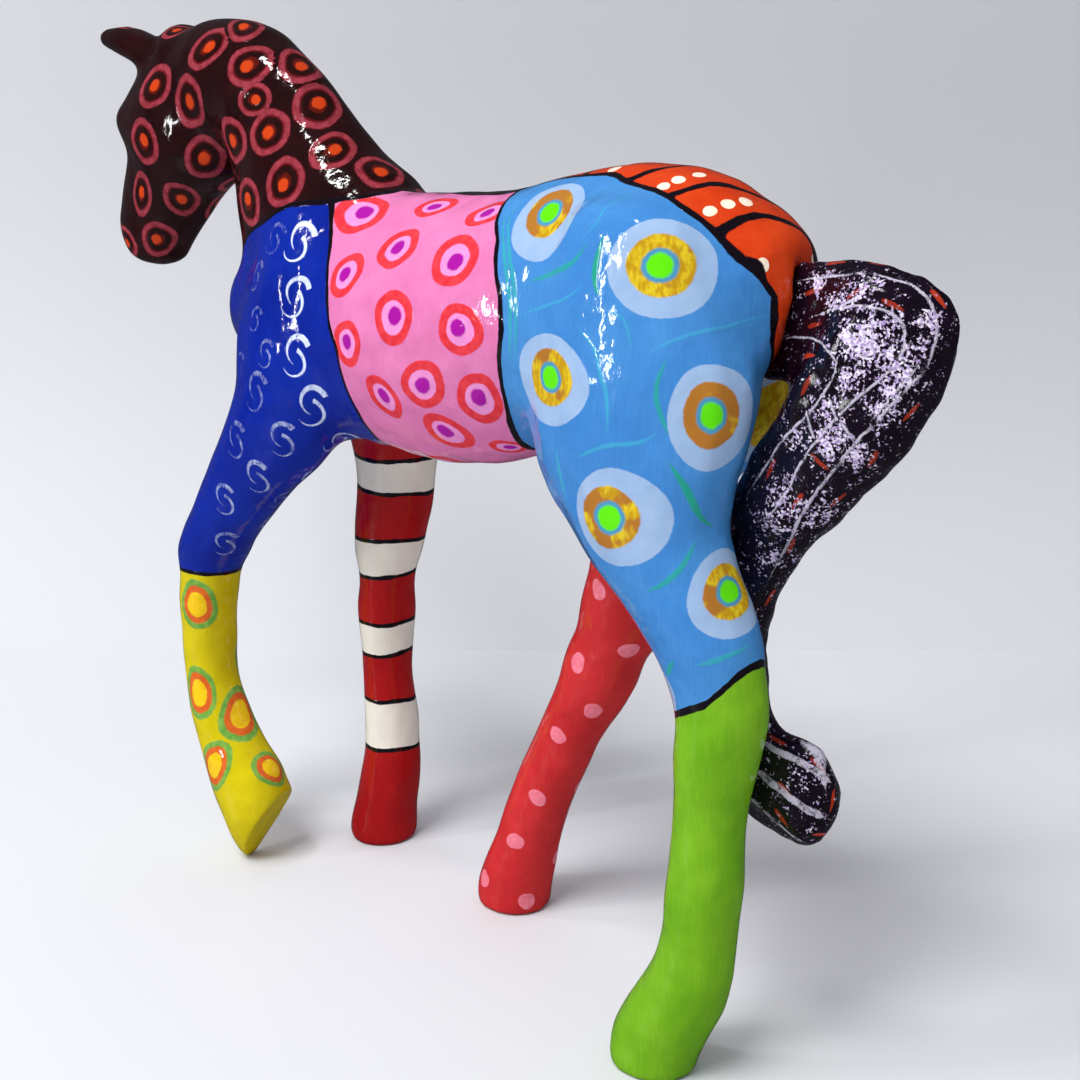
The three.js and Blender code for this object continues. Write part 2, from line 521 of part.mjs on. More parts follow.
// The part's origin is on the floor, under the middle of its box.
const box = new THREE.Box3().setFromObject(foal);
foal.position.set(-(box.min.x + box.max.x) / 2, -(box.min.y + box.max.y) / 2, -box.min.z);

export default foal;
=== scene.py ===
import bmesh
import bpy
import numpy as np
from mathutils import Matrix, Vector


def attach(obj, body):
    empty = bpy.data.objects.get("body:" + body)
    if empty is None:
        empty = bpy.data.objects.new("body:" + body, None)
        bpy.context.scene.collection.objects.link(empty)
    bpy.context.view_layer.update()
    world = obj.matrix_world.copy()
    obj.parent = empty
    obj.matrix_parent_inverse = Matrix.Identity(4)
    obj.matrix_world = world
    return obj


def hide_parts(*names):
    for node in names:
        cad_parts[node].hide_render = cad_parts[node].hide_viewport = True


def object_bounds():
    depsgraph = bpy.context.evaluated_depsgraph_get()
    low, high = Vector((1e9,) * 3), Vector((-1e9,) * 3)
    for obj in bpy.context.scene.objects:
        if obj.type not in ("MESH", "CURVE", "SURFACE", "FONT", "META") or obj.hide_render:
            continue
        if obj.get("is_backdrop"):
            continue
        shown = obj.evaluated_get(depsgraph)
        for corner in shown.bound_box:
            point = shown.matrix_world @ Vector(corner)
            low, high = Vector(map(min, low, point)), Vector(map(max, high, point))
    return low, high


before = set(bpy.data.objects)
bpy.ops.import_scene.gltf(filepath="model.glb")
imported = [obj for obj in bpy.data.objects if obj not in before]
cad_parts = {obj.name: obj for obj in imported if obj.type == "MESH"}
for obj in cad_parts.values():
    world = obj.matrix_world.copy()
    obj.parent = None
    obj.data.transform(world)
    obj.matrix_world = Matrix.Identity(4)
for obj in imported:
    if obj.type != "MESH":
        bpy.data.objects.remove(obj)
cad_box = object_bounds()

# ------------------------------ armature wires
# Six lengths of galvanised steel wire, 4 mm thick along the spine and 3 mm in the tail and legs, run inside the
# paper shells and hold the walking pose. The wire was drawn through a die, so fine streaks run along its dull zinc.


def mixed(card):
    """The linear colour of a shade written as on a colour card, six digits of red, green and blue."""
    shade = np.array([int(card[i:i + 2], 16) for i in (0, 2, 4)]) / 255
    return tuple(np.where(shade < 0.04045, shade / 12.92, ((shade + 0.055) / 1.055) ** 2.4))


class Value:
    """A number, colour or vector that varies over a surface. Each sum or product of values adds a Math node."""

    def __init__(self, finish, socket):
        self.finish, self.socket = finish, socket

    def _math(self, operation, *terms):
        return self.finish.node("Math", {"operation": operation}, **dict(zip(("Value", "Value_001"), terms)))

    def __add__(self, other):
        return self._math("ADD", self, other)

    def __sub__(self, other):
        return self._math("SUBTRACT", self, other)

    def __rsub__(self, other):
        return self._math("SUBTRACT", other, self)

    def __mul__(self, other):
        return self._math("MULTIPLY", self, other)

    def __truediv__(self, other):
        return self._math("DIVIDE", self, other)

    __radd__, __rmul__ = __add__, __mul__

    def __abs__(self):
        return self._math("ABSOLUTE", self)

    def sine(self):
        return self._math("SINE", self)

    def hypot(self, other):
        """The root of the sum of the squares of this value and another."""
        return self._math("SQRT", self * self + other * other)

    def angle(self, across):
        """The angle of the point (across, this value) round the origin, from -pi to pi."""
        return self._math("ARCTAN2", self, across)

    def least(self, other):
        return self._math("MINIMUM", self, other)

    def most(self, other):
        return self._math("MAXIMUM", self, other)

    def under(self, edge, soft=0.05):
        """1 where the value is under the edge and 0 over it, with a smooth step soft wide on each side."""
        return self.finish.node("MapRange", {"interpolation_type": "SMOOTHSTEP"}, Value=self,
                                From_Min=edge - soft, From_Max=edge + soft, To_Min=1.0, To_Max=0.0)

    def over(self, edge, soft=0.05):
        return 1 - self.under(edge, soft)


class Finish:
    """One material, or the world round the table: its node tree, and the few ways in which it gets nodes."""

    def __init__(self, name, kind=bpy.data.materials):
        self.made = kind.new(name)
        self.made.use_nodes = True
        self.tree = self.made.node_tree
        self.tree.nodes.clear()

    def node(self, kind, settings=None, out=None, **terms):
        """Adds a node: its settings first, then the value or link of each socket. Gives the output named out."""
        made = self.tree.nodes.new("ShaderNode" + kind)
        for name, setting in (settings or {}).items():
            setattr(made, name, setting)
        for key, term in terms.items():
            socket = next(s for s in made.inputs if s.enabled and key in (s.identifier, s.name.replace(" ", "_")))
            if isinstance(term, Value):
                self.tree.links.new(term.socket, socket)
            elif socket.type == "RGBA":
                socket.default_value = (*term, 1)
            else:
                socket.default_value = term
        return Value(self, next((s for s in made.outputs if s.enabled and out in (None, s.name)), None))

    def part_of(self, vector, part):
        """The X, Y or Z of a vector."""
        return self.node("SeparateXYZ", out=part, Vector=vector)

    def blend(self, share, under, over):
        """The colour over laid on the colour under, as thick as share."""
        return self.node("Mix", {"data_type": "RGBA"}, Factor_Float=share, A_Color=under, B_Color=over)

    def grain(self, size, stretch=(1, 1, 1), detail=2.0, shift=0.0):
        """Soft noise from 0 to 1 whose spots are about size millimetres, drawn out along each axis by stretch."""
        place = self.node("TexCoord", out="Object")
        scale = tuple(1000 / (size * s) for s in stretch)
        place = self.node("VectorMath", {"operation": "MULTIPLY_ADD"}, Vector=place, Vector_001=scale,
                          Vector_002=(shift, shift * 1.7, shift * 0.6))
        return self.node("TexNoise", {"noise_dimensions": "3D"}, out="Fac", Vector=place, Scale=1.0,
                         Detail=detail, Roughness=0.55)

    def close(self, colour, roughness, height=None, **constants):
        """The surface shader, with its relief in millimetres, and the material's output."""
        terms = dict(Base_Color=colour, Roughness=roughness, **constants)
        if height is not None:
            terms["Normal"] = self.node("Bump", Strength=1.0, Distance=0.001, Height=height)
        self.node("OutputMaterial", Surface=self.node("BsdfPrincipled", **terms))
        return self.made


zinc = Finish("galvanised_wire")
streaks = zinc.grain(0.5, stretch=(1, 1, 14), detail=3)
spangle = zinc.grain(2.4, detail=4, shift=3)
zinc_colour = zinc.blend(spangle, mixed("8d9193"), mixed("c3c7c9"))
galvanised = zinc.close(zinc_colour, streaks * 0.3 + 0.28, streaks * 0.02 + spangle * 0.01, Metallic=1.0)

for name in sorted(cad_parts):
    if name.endswith("_wire"):
        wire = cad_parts[name]
        wire.data.materials.clear()
        wire.data.materials.append(galvanised)

# ------------------------------ paper skin
# Strips of paper and glue are pasted over the shells of body, neck, head, ears and legs and sanded. The skin
# closes every seam between them; it is worked as one surface, then cut along the shells' own joints.

LEGS = [f"{leg}_{half}" for leg in ("fore_leg_left", "fore_leg_right", "hind_leg_left", "hind_leg_right")
        for half in ("upper", "lower")]
BODY_SHELLS = ["trunk", "neck", "head", "ear_left", "ear_right", *LEGS]
SKIN_CELL = 1.3  # mm between the points of the pasted surface
SEAM_FILL = 0.4  # mm that each shell swells, so that its seams close
SHRINKING = 0.9  # share of the fill that is lost again as the paste dries
SEAM_STROKES = 130  # strokes of the sanding block along the seams
FOLDS = [(70, 23, 218, 14), (59, 30, 211, 12), (77, 20, 227, 12), (53, 32, 205, 10)]  # places by the breast, reach
FOLD_COATS = 160
LUMP_HEIGHT = 0.22  # mm, the usual unevenness of hand-laid paper
FACE = [(160, 14, 265, 7, 2.6), (153, 16, 249, 8, -1.0), (169, 11, 225, 8, 1.0)]  # place, reach, mm added or pared
HOOF_CORNER = (76, 12, 23, 6, 1.6)  # the same, at the back of the lifted hoof
SOLE_PLACE, SOLE_WAY = (75.3, 12.8, 23.6), np.array((-0.80, -0.31, -0.514))  # its flat sole, and the way out of it
TOE_TIP, TOE_STROKES, TOE_DROP = (86, 23.7, 0.5), 100, 3.9  # where it ends, its sanding, and mm down to the floor
DOCK = [((-124, 4, 210), (10, 10, 19), 6.5), ((-112, -16, 190), (9, 10, 13), 4)]  # place, reach, mm built up behind


def in_scene(name, data):
    """A new object of the scene."""
    made = bpy.data.objects.new(name, data)
    bpy.context.scene.collection.objects.link(made)
    return made


def values_of(items, field, width, kind=np.float32):
    """One field of a mesh's items, one row for each item."""
    values = np.empty(len(items) * width, kind)
    items.foreach_get(field, values)
    return values.reshape(-1, width)


def neighbour_mean(values, edges):
    """The mean of each point's neighbours: for every edge its ends add each other's values."""
    here, there = np.concatenate([edges, edges[:, ::-1]]).T
    total = np.stack([np.bincount(here, column[there], len(values)) for column in values.T], 1)
    return total / np.bincount(here, minlength=len(values))[:, None]


def sanded(points, edges, strokes, weight=1):
    """Each stroke moves every point half way, times its weight, to the mean of its neighbours."""
    points = points.copy()
    for _ in range(strokes):
        points += 0.5 * weight * (neighbour_mean(points, edges) - points)
    return points


def unit(rows):
    """The rows as directions, each one long."""
    return rows / np.maximum(np.linalg.norm(rows, axis=1, keepdims=True), 1e-12)


def outward(points, faces):
    """Unit normals at the points: the sum over the faces of the cross product of their diagonals."""
    corners = points[faces]
    areas = np.cross(corners[:, 2] - corners[:, 0], corners[:, 3] - corners[:, 1])
    rows = np.repeat(areas, faces.shape[1], 0)
    return unit(np.stack([np.bincount(faces.ravel(), rows[:, i], len(points)) for i in range(3)], 1))


def lumps(points, height, shortest, longest, seed, waves=36):
    """Gentle unevenness: the sum of plane sine waves of chance direction, length and start, of the mean height."""
    chance = np.random.default_rng(seed)
    ways = chance.normal(size=(3, waves))
    lengths = chance.uniform(shortest, longest, waves)
    ways *= 2 * np.pi / lengths / np.linalg.norm(ways, axis=0)
    sizes = lengths / np.sqrt((lengths ** 2).mean())
    return height * np.sqrt(2 / waves) * (np.sin(points @ ways + chance.uniform(0, 2 * np.pi, waves)) @ sizes)


def pasted_over(names, cell, swell):
    """The surface of paper pasted over several shells. Every shell's points move out by swell along their
    normals, and the union is meshed again in square cells. Gives points (mm), four-cornered faces, edges and,
    for each face, the number of the shell below it."""
    points, triangles, owner, start = [], [], [], 0
    for number, name in enumerate(names):
        welded = bmesh.new()
        welded.from_mesh(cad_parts[name].data)
        bmesh.ops.remove_doubles(welded, verts=welded.verts, dist=1e-6)
        shell = bpy.data.meshes.new(name + "_copy")
        welded.to_mesh(shell)
        welded.free()
        out = values_of(shell.vertex_normals, "vector", 3)
        points.append(values_of(shell.vertices, "co", 3) + out * swell / 1000)
        triangles.append(values_of(shell.loops, "vertex_index", 1, np.int32).reshape(-1, 3) + start)
        owner.append(np.full(len(triangles[-1]), number, np.int32))
        start += len(points[-1])
        bpy.data.meshes.remove(shell)
    mesh = bpy.data.meshes.new("pasted")
    mesh.from_pydata(np.concatenate(points), [], np.concatenate(triangles))
    mesh.attributes.new("shell", "INT", "FACE").data.foreach_set("value", np.concatenate(owner))
    mesh.remesh_voxel_size = cell / 1000
    mesh.use_remesh_preserve_attributes = True
    mesh.use_remesh_preserve_volume = mesh.use_remesh_fix_poles = False
    pasted = in_scene("pasted", mesh)
    bpy.context.view_layer.objects.active = pasted
    pasted.select_set(True)
    bpy.ops.object.voxel_remesh()
    mesh = pasted.data
    found = (values_of(mesh.vertices, "co", 3).astype(float) * 1000,
             values_of(mesh.loops, "vertex_index", 1, np.int32).reshape(-1, 4),
             values_of(mesh.edges, "vertices", 2, np.int32),
             values_of(mesh.attributes["shell"].data, "value", 1, np.int32)[:, 0])
    bpy.data.objects.remove(pasted)
    bpy.data.meshes.remove(mesh)
    return found


def seam_weight(points, faces, edges, owner):
    """1 along the seams between shells, falling to 0 beside them: a 1 on each seam, spread over its neighbours."""
    lowest = np.full(len(points), 99.0)
    highest = np.full(len(points), -1.0)
    np.minimum.at(lowest, faces, owner[:, None].repeat(4, 1))
    np.maximum.at(highest, faces, owner[:, None].repeat(4, 1))
    return np.clip(sanded((highest > lowest).astype(float)[:, None], edges, 40) * 9, 0, 1)


def other_side(row):
    """A row of values that starts with a place, with that place mirrored to the foal's other side."""
    px, py, *rest = row
    return (px, -py, *rest)


def bell(points, place, reach):
    """1 at a place, falling along a bell curve with the distance in units of reach."""
    return np.exp(-(((points - place) / reach) ** 2).sum(1, keepdims=True))


def filled(points, faces, edges, folds, coats):
    """Pulp pressed into folds: each coat lifts a point towards its neighbours' mean along its normal, never down."""
    weight = np.max([bell(points, place, reach) for *place, reach in folds + [other_side(row) for row in folds]], 0)
    points = points.copy()
    for coat in range(coats):
        if coat % 20 == 0:
            normal = outward(points, faces)
        lift = ((neighbour_mean(points, edges) - points) * normal).sum(1, keepdims=True)
        points += 0.9 * weight * np.maximum(lift, 0) * normal
    return points


points, faces, edges, shell_of = pasted_over(BODY_SHELLS, SKIN_CELL, SEAM_FILL)
head, *ears = (BODY_SHELLS.index(name) for name in ("head", "ear_left", "ear_right"))
crisp_eared = np.where(np.isin(shell_of, ears), head, shell_of)  # the roots of the ears aren't sanded as seams
seamless = sanded(points, edges, SEAM_STROKES, seam_weight(points, faces, edges, crisp_eared))
seamless = filled(seamless, faces, edges, FOLDS, FOLD_COATS)
smooth = sanded(seamless, edges, 24)
points = smooth + sanded(seamless - smooth, edges, 16)
points -= outward(points, faces) * SEAM_FILL * SHRINKING
points += outward(points, faces) * lumps(points, LUMP_HEIGHT, 11, 34, seed=4)[:, None]

# pulp added on the brows and lips and pared off below the eyes, then the lifted hoof: its back corner is built up,
# its sole pressed flat, and the tip of its toe rubbed round and brought down to the floor
for *place, reach, height in [row for left in FACE for row in (left, other_side(left))] + [HOOF_CORNER]:
    points += outward(points, faces) * bell(points, place, reach) * height
lifted_hoof = (points[:, 0] > 55) & (points[:, 1] > 0) & (points[:, 2] < 34)
beyond = np.maximum((points - SOLE_PLACE) @ SOLE_WAY, 0) * lifted_hoof
points -= beyond[:, None] * SOLE_WAY
worn = sanded(points, edges, TOE_STROKES)
points += bell(points, TOE_TIP, (9, 9, 8)) * (worn - points)
points += bell(points, TOE_TIP, 9) * (0, 0, -TOE_DROP)
points[:, 2] = np.maximum(points[:, 2], 0)
limits = np.array([list(corner) for corner in cad_box]) * 1000
points = np.clip(points, limits[0], limits[1])
normals = outward(points, faces)

# ------------------------------ painted zones
# Acrylic paint in ten flat zones, brushed on by hand and parted by a black line about 2 mm wide.
# Each zone is laid over the ones before it, so a zone is a number in mm: its depth inside its own outline.

BLACK = mixed("100a12")
HAND = 0.32  # mm that the brush strays from a border
RUMP_BANDS = [(-72.5, 0.62), (-95.1, 0.62), (-112.7, 0.67), (-123.3, 0.33)]  # place along the back, slant
x, y, z = points.T
side = np.abs(y)


def edge_at(along, *places):
    """The line through places (along, across), read at every point's value of along."""
    places = sorted(places)
    return np.interp(along, [p[0] for p in places], [p[1] for p in places])


def all_of(*depths):
    """The depth inside several outlines at once."""
    return np.minimum.reduce(depths)


saddle_line = edge_at(z, (165, 14), (172, 14), (180, 13), (194, 15), (203, 18), (212, 20), (227, 26), (238, 29))
flank_line = edge_at(z, (169, -46), (177, -49), (186, -52), (206, -56), (216, -55), (229, -49), (234, -45),
                     (240, -42))
rump_width = all_of(edge_at(x, (-127, 13), (-124, 16), (-117, 17), (-106, 17), (-94, 16), (-78, 12), (-59, 8),
                            (-52, 8)),
                    edge_at(z, (190, 4), (198, 5), (207, 9), (218, 10), (226, 16), (233, 18)))
neck_line = edge_at(x, (16, 241), (22, 239), (29, 238), (37, 238), (44, 237), (54, 233), (70, 227), (83, 217),
                    (92, 208), (100, 195))
spine_left = edge_at(x, (-52, 8), (-40, 9), (-28, 6), (-15, 5), (-3, 3), (7, 1), (16, 4))
hock_line = edge_at(x, (-136, 127), (-128, 117), (-114, 109), (-100, 104))
leg_bands = np.max([half - np.abs(z - middle) for middle, half in ((144, 6), (113, 7), (82, 6), (48.5, 9.5))], 0)
striped_leg = all_of(164 - z, -y - 2, x - 18, 92 - x)

ZONES = {
    "pink": np.full(len(points), 99.0),
    "royal_blue": x - saddle_line,
    "sky_blue": flank_line - x,
    "coral": all_of(150 - z, -y, 12 - x),
    "orange": all_of(rump_width - side, -52 - x, z - 185),
    "maroon": np.maximum(all_of(z - neck_line, x - 14),
                         all_of(spine_left - y, y + 13, x + 52, 30 - x, z - 220)),
    "green": all_of(hock_line - z, y, -60 - x),
    "yellow": all_of(108 - z, y, x - 40),
    "red": striped_leg,
    "cream": all_of(striped_leg, leg_bands),
}

for number, name in enumerate(ZONES):
    stray = HAND * 1.5 if name in ("red", "cream") else HAND
    ZONES[name] = ZONES[name] + lumps(points, stray, 9, 30, seed=20 + number)


def laid_on(zones, faces):
    """For each face the number of the last zone that covers it, and at its corners the depth inside that zone:
    the least of the zone's own depth and of how far every later zone stays away."""
    depths = np.stack(list(zones))[:, faces]
    covers = depths.mean(2) > 0
    top = len(covers) - 1 - np.argmax(covers[::-1], 0)
    later = np.arange(len(covers))[:, None, None] > top[None, :, None]
    depth = np.take_along_axis(depths, top[None, :, None], 0)[0]
    return top, np.minimum(depth, np.where(later, -depths, 99).min(0))


zone_of, depth = laid_on(ZONES.values(), faces)
own = {name: zone_of == number for number, name in enumerate(ZONES)}
centres = points[faces].mean(1)
facing = normals[faces].mean(1)

# the dock is built up round the root of the tail, paint and all
for place, reach, height in DOCK:
    points += bell(points, place, reach) * (-height, 0, 0)
normals = outward(points, faces)

# the black cross bands of the rump are borders too: distances from four slanting planes, times 0.8 for broader lines
for start, slant in RUMP_BANDS:
    band = np.abs(x - start - slant * y) / np.hypot(1, slant) * 0.8
    depth[own["orange"]] = np.minimum(depth, band[faces])[own["orange"]]

# ------------------------------ brushed motifs
# Rings, discs, spots and comma strokes are dabbed on each zone with a small round brush, every one a little uneven.
# A motif is a place, two radii in mm and a turn; each face reads its nearest motif as (across, up, strength).

LOOK = np.array((0.67, -0.7, -0.25))  # the way the photograph looks; what faces away is filled by chance
NO_MOTIF = 9.0  # so far out, in radii, that no paint of the motif reaches it
chance = np.random.default_rng(11)
motif = np.full(faces.shape + (3,), NO_MOTIF)


def scattered(inside, taken, spacing):
    """Adds places at chance on the faces inside, at least spacing from each other and from the motifs taken."""
    rows = list(taken)
    free = centres[inside & (facing @ LOOK > 0.05)]
    for row in rows:
        free = free[np.linalg.norm(free - row[:3], axis=1) > spacing]
    while len(free):
        rows.append(tuple(free[chance.integers(len(free))]))
        free = free[np.linalg.norm(free - rows[-1], axis=1) > spacing]
    return rows


def nearest_to(places, hearts, reach=1.0):
    """For each place the number of its nearest heart, where the distance from each is measured in its reach."""
    return np.concatenate([np.argmin(((part[:, None] - hearts) ** 2).sum(2) / reach ** 2, 1)
                           for part in np.array_split(places, 40)])


def measured(away, way):
    """How far the places away, at each face's corners, lie along that face's own direction."""
    return (away * way[:, None]).sum(2)


def motif_frame(place, turn):
    """The surface point nearest to a place, its normal, and two directions along the surface turned by turn."""
    nearest = np.argmin(((points - place) ** 2).sum(1))
    out = normals[nearest]
    across = np.cross((0, 0, 1), out) if abs(out[2]) < 0.9 else np.cross(out, (0, 1, 0))
    across /= np.linalg.norm(across)
    up = np.cross(out, across)
    return (points[nearest], out, np.cos(turn) * across + np.sin(turn) * up,
            np.cos(turn) * up - np.sin(turn) * across)


def dabbed(zone, rows, radius, strength=(0, 1), unevenness=0.04):
    """Writes the nearest motif of a zone into the corners of that zone's faces, measured in its own radii. A row
    is a place, then radius across, radius up, turn in degrees and strength; what it leaves out comes by chance.
    Distances are the straight ones, and an outline swells and shrinks by low waves round the motif."""
    which = np.flatnonzero(own[zone])
    full = []
    for row in rows:
        size = radius * chance.uniform(0.92, 1.08)
        rest = (size, size * chance.uniform(0.85, 1.0), chance.uniform(0, 180), chance.uniform(*strength))
        full.append((*row, *rest[len(row) - 3:]))
    full = np.array(full, float)
    frames = [motif_frame(row[:3], np.radians(row[5])) for row in full]
    heart, out, across, up = (np.array(part) for part in zip(*frames))
    nearest = nearest_to(centres[which], heart, full[:, 3])
    away = points[faces[which]] - heart[nearest][:, None]
    flat = np.stack([measured(away, across[nearest]), measured(away, up[nearest])], 2)
    reach = np.linalg.norm(away, axis=2) / np.maximum(np.linalg.norm(flat, axis=2), 1e-9)
    mark = np.empty(flat.shape[:2] + (3,))
    mark[..., :2] = flat * reach[..., None] / full[nearest][:, None, 3:5]
    angle = np.arctan2(mark[..., 1], mark[..., 0])
    shift = chance.uniform(0, 6.28, (3, len(full)))[:, nearest, None]
    swell = 1 + unevenness * (np.sin(2 * angle + shift[0]) + 0.7 * np.sin(3 * angle + shift[1])
                              + 0.4 * np.sin(5 * angle + shift[2]))
    mark[..., :2] /= swell[..., None]
    mark[..., 2] = full[nearest, 6][:, None]
    turned = (facing[which] * out[nearest]).sum(1) < 0.1
    mark[turned, :, 0] = NO_MOTIF
    motif[which] = mark


RINGS_DARK = [
    (100, 14, 287, 10, 7.2, 20), (90, 5, 294, 8.6, 6.5, -75), (130, 17, 276, 10, 7.2, 26),
    (110, 15, 270, 9.2, 8.2, 75), (78, 13, 281, 9, 8, 0), (65, 2, 281, 9.5, 7.6, 51), (72, 16, 270, 6.8, 5.8, -9),
    (52, 5, 267, 9.8, 8.4, 77), (63, 17, 259, 9.2, 7.6, -10), (136, 19, 257, 8.8, 8, 0), (83, 17, 257, 9.3, 7.2, -33),
    (111, 10, 251, 8, 7.4, 43), (39, 10, 253, 8.4, 7.4, 70), (50, 21, 244, 9.2, 8, -49), (24, 3, 247, 8.6, 7.9, 48),
    (146, 14, 239, 9, 5.6, 60), (129, 8, 237, 8.6, 6.8, 64), (69, 22, 237, 9.8, 6.7, -39), (147, 8, 222, 8, 6.8, 56),
    (165, 10, 221, 8, 5.8, -18), (128, 7, 295, 6, 4.5, 25), (158, 8, 299, 6, 3, 0), (8, -6, 242, 8, 5, 0),
    (-8, -5, 241, 8, 4, 0), (-24, -4, 241, 8, 4, 0), (-40, -3, 242, 8, 4, 0)]
RINGS_PINK = [
    (17, 16, 234, 11, 7.3, -7), (-13, 14, 237, 8, 4.6, 14), (-38, 17, 236, 9.1, 4.8, 15), (-9, 25, 225, 8.6, 6.5, 29),
    (-35, 27, 223, 9.5, 7.6, -4), (12, 28, 217, 8, 6.3, 36), (-14, 32, 206, 8.6, 8, -16),
    (-41, 31, 205, 8.4, 7.4, 10), (8, 31, 197, 7.3, 6.9, -9), (-24, 31, 188, 9, 7.3, 30), (-4, 29, 182, 8, 6.4, -40),
    (-44, 26, 185, 9, 7.3, 54), (-26, 23, 173, 9.2, 6.6, -17), (-42, 14, 170, 6, 3.8, -6)]
DISCS = [  # the strength sets how the ochre lies, and under zero it leaves out the green heart
    (-65, 22, 235, 12.8, 12.2, 0, 0.62), (-109, 28, 225, 14.2, 12.6, 0, 0.157), (-76, 33, 194, 15.5, 12.2, 0, 0.471),
    (-125, 26, 189, 13.5, 11, 90, 0.95), (-102, 35, 162, 15.5, 12.9, 18, 0.589), (-129, 21, 145, 12.3, 11, 39, 0.471),
    (-112, -18, 187, 20, 20, 0, -1)]
SPOTS_YELLOW = [
    (100, 31, 96, 10, 7.4, 80), (101, 32, 62, 9.8, 7, -80), (89, 22, 54, 11, 8.4, 60), (91, 34, 37, 9.8, 8, 60),
    (74, 20, 37, 7.7, 6.7, -41)]
DOTS_CORAL = [
    (-59, -7, 125), (-67, -12, 106), (-49, -8, 100), (-53, -12, 84), (-39, -10, 72), (-37, -24, 50), (-30, -10, 48),
    (-21, -9, 29), (-22, -14, 6), (-7, -9, 11), (-26, -25, 20)]
DOTS_RUMP = [
    (-77, 9, 248), (-79, 4.5, 249), (-79, -9, 248), (-98, 14, 244), (-100, 10, 245), (-102, 5, 247),
    (-103, -12, 244), (-113, 14, 238), (-115, 9, 239), (-117, 5, 240), (-117, -13, 237),
    (-128, 12, 225), (-129, -11, 226)]
COMMAS = [
    (38, 25, 225, 7, 7, -10, 1.0), (34, 30, 209, 6.8, 6.8, -4, 0.85), (33, 32, 191, 6.9, 6.9, 4, 0.9),
    (30, 28, 174, 7.2, 7.2, 8, 0.8), (33, 16, 162, 6.5, 6.5, -10, 0.55), (42, 32, 163, 6.5, 6.5, 12, 0.5),
    (56, 32, 148, 6.6, 6.6, 10, 0.5), (74, 34, 138, 6.2, 6.2, 5, 0.5), (82, 29, 121, 6, 6, 8, 0.45),
    (56, 30, 214, 5, 5, 10, 0.3), (52, 33, 201, 4.4, 4.4, -5, 0.3), (46, 34, 191, 4.8, 4.8, 5, 0.35),
    (51, 35, 178, 6.8, 6.8, 0, 0.32), (63, 35, 161, 6.5, 6.5, 6, 0.35), (49, 26, 226, 5.6, 5.6, -8, 0.22),
    (58, 22, 139, 5, 5, 20, 0.3), (63, 33, 185, 4.5, 4.5, 0, 0.15)]

# first the motifs that the photograph shows, then more at their spacing where it shows none
inside = depth.min(1)
above_sole = centres[:, 2] > 26
dabbed("maroon", scattered(own["maroon"], RINGS_DARK, 17), 7.9)
dabbed("pink", scattered(own["pink"], RINGS_PINK, 20.5), 8.2)
dabbed("sky_blue", scattered(own["sky_blue"] & (inside > 6), DISCS, 34), 13.6, unevenness=0.025)
dabbed("yellow", scattered(own["yellow"] & (inside > 3) & above_sole, SPOTS_YELLOW, 21), 8.2)
dabbed("coral", scattered(own["coral"] & (inside > 4), DOTS_CORAL, 18), 3.3, unevenness=0.06)
dabbed("orange", DOTS_RUMP, 1.95)
dabbed("royal_blue", scattered(own["royal_blue"] & (inside > 4), COMMAS, 17), 6.4, strength=(0.3, 0.9),
       unevenness=0.02)

# Long soft brush strokes wander between the discs of the haunch: each is a curve on the surface, read by the
# faces near it as (distance across, share of the way along, strength).
WISPS = [
    (0.8, (-65, 28, 219), (-76, 29, 222), (-83, 30, 225), (-87, 30, 230)),
    (1.0, (-92, 30, 232), (-91, 31, 226), (-91, 31, 221), (-93, 32, 217)),
    (0.35, (-62, 29, 210), (-72, 30, 213), (-82, 32, 216), (-88, 32, 220)),
    (0.5, (-87, 33, 209), (-93, 34, 204), (-95, 34, 199), (-98, 35, 193), (-99, 35, 183)),
    (0.8, (-114, 31, 203), (-112, 31, 198), (-112, 32, 193), (-115, 32, 186), (-117, 31, 184)),
    (0.3, (-127, 9, 214), (-124, 19, 211), (-118, 27, 209), (-112, 31, 206), (-108, 32, 203)),
    (0.25, (-92, 18, 242), (-90, 25, 239), (-89, 29, 235), (-85, 29, 231)),
    (0.25, (-96, 33, 214), (-101, 32, 212), (-104, 32, 205)),
    (0.5, (-89, 35, 176), (-98, 35, 180), (-108, 34, 182), (-113, 32, 185)),
    (0.7, (-50, 18, 238), (-51, 22, 233), (-56, 27, 226), (-60, 29, 217), (-61, 29, 207), (-60, 29, 198)),
    (0.7, (-48, 18, 238), (-49, 22, 233), (-54, 27, 226), (-58, 29, 217), (-59, 29, 207), (-58, 29, 198)),
    (1.0, (-116, 32, 178), (-119, 29, 172), (-122, 26, 164), (-123, 22, 161)),
    (0.8, (-121, 26, 158), (-120, 30, 152), (-116, 32, 147), (-111, 33, 144)),
    (0.6, (-79, 33, 178), (-80, 33, 170), (-82, 32, 163)),
    (0.7, (-134, 21, 132), (-132, 27, 130), (-126, 31, 127)),
    (0.8, (-119, 32, 127), (-115, 30, 121)),
]


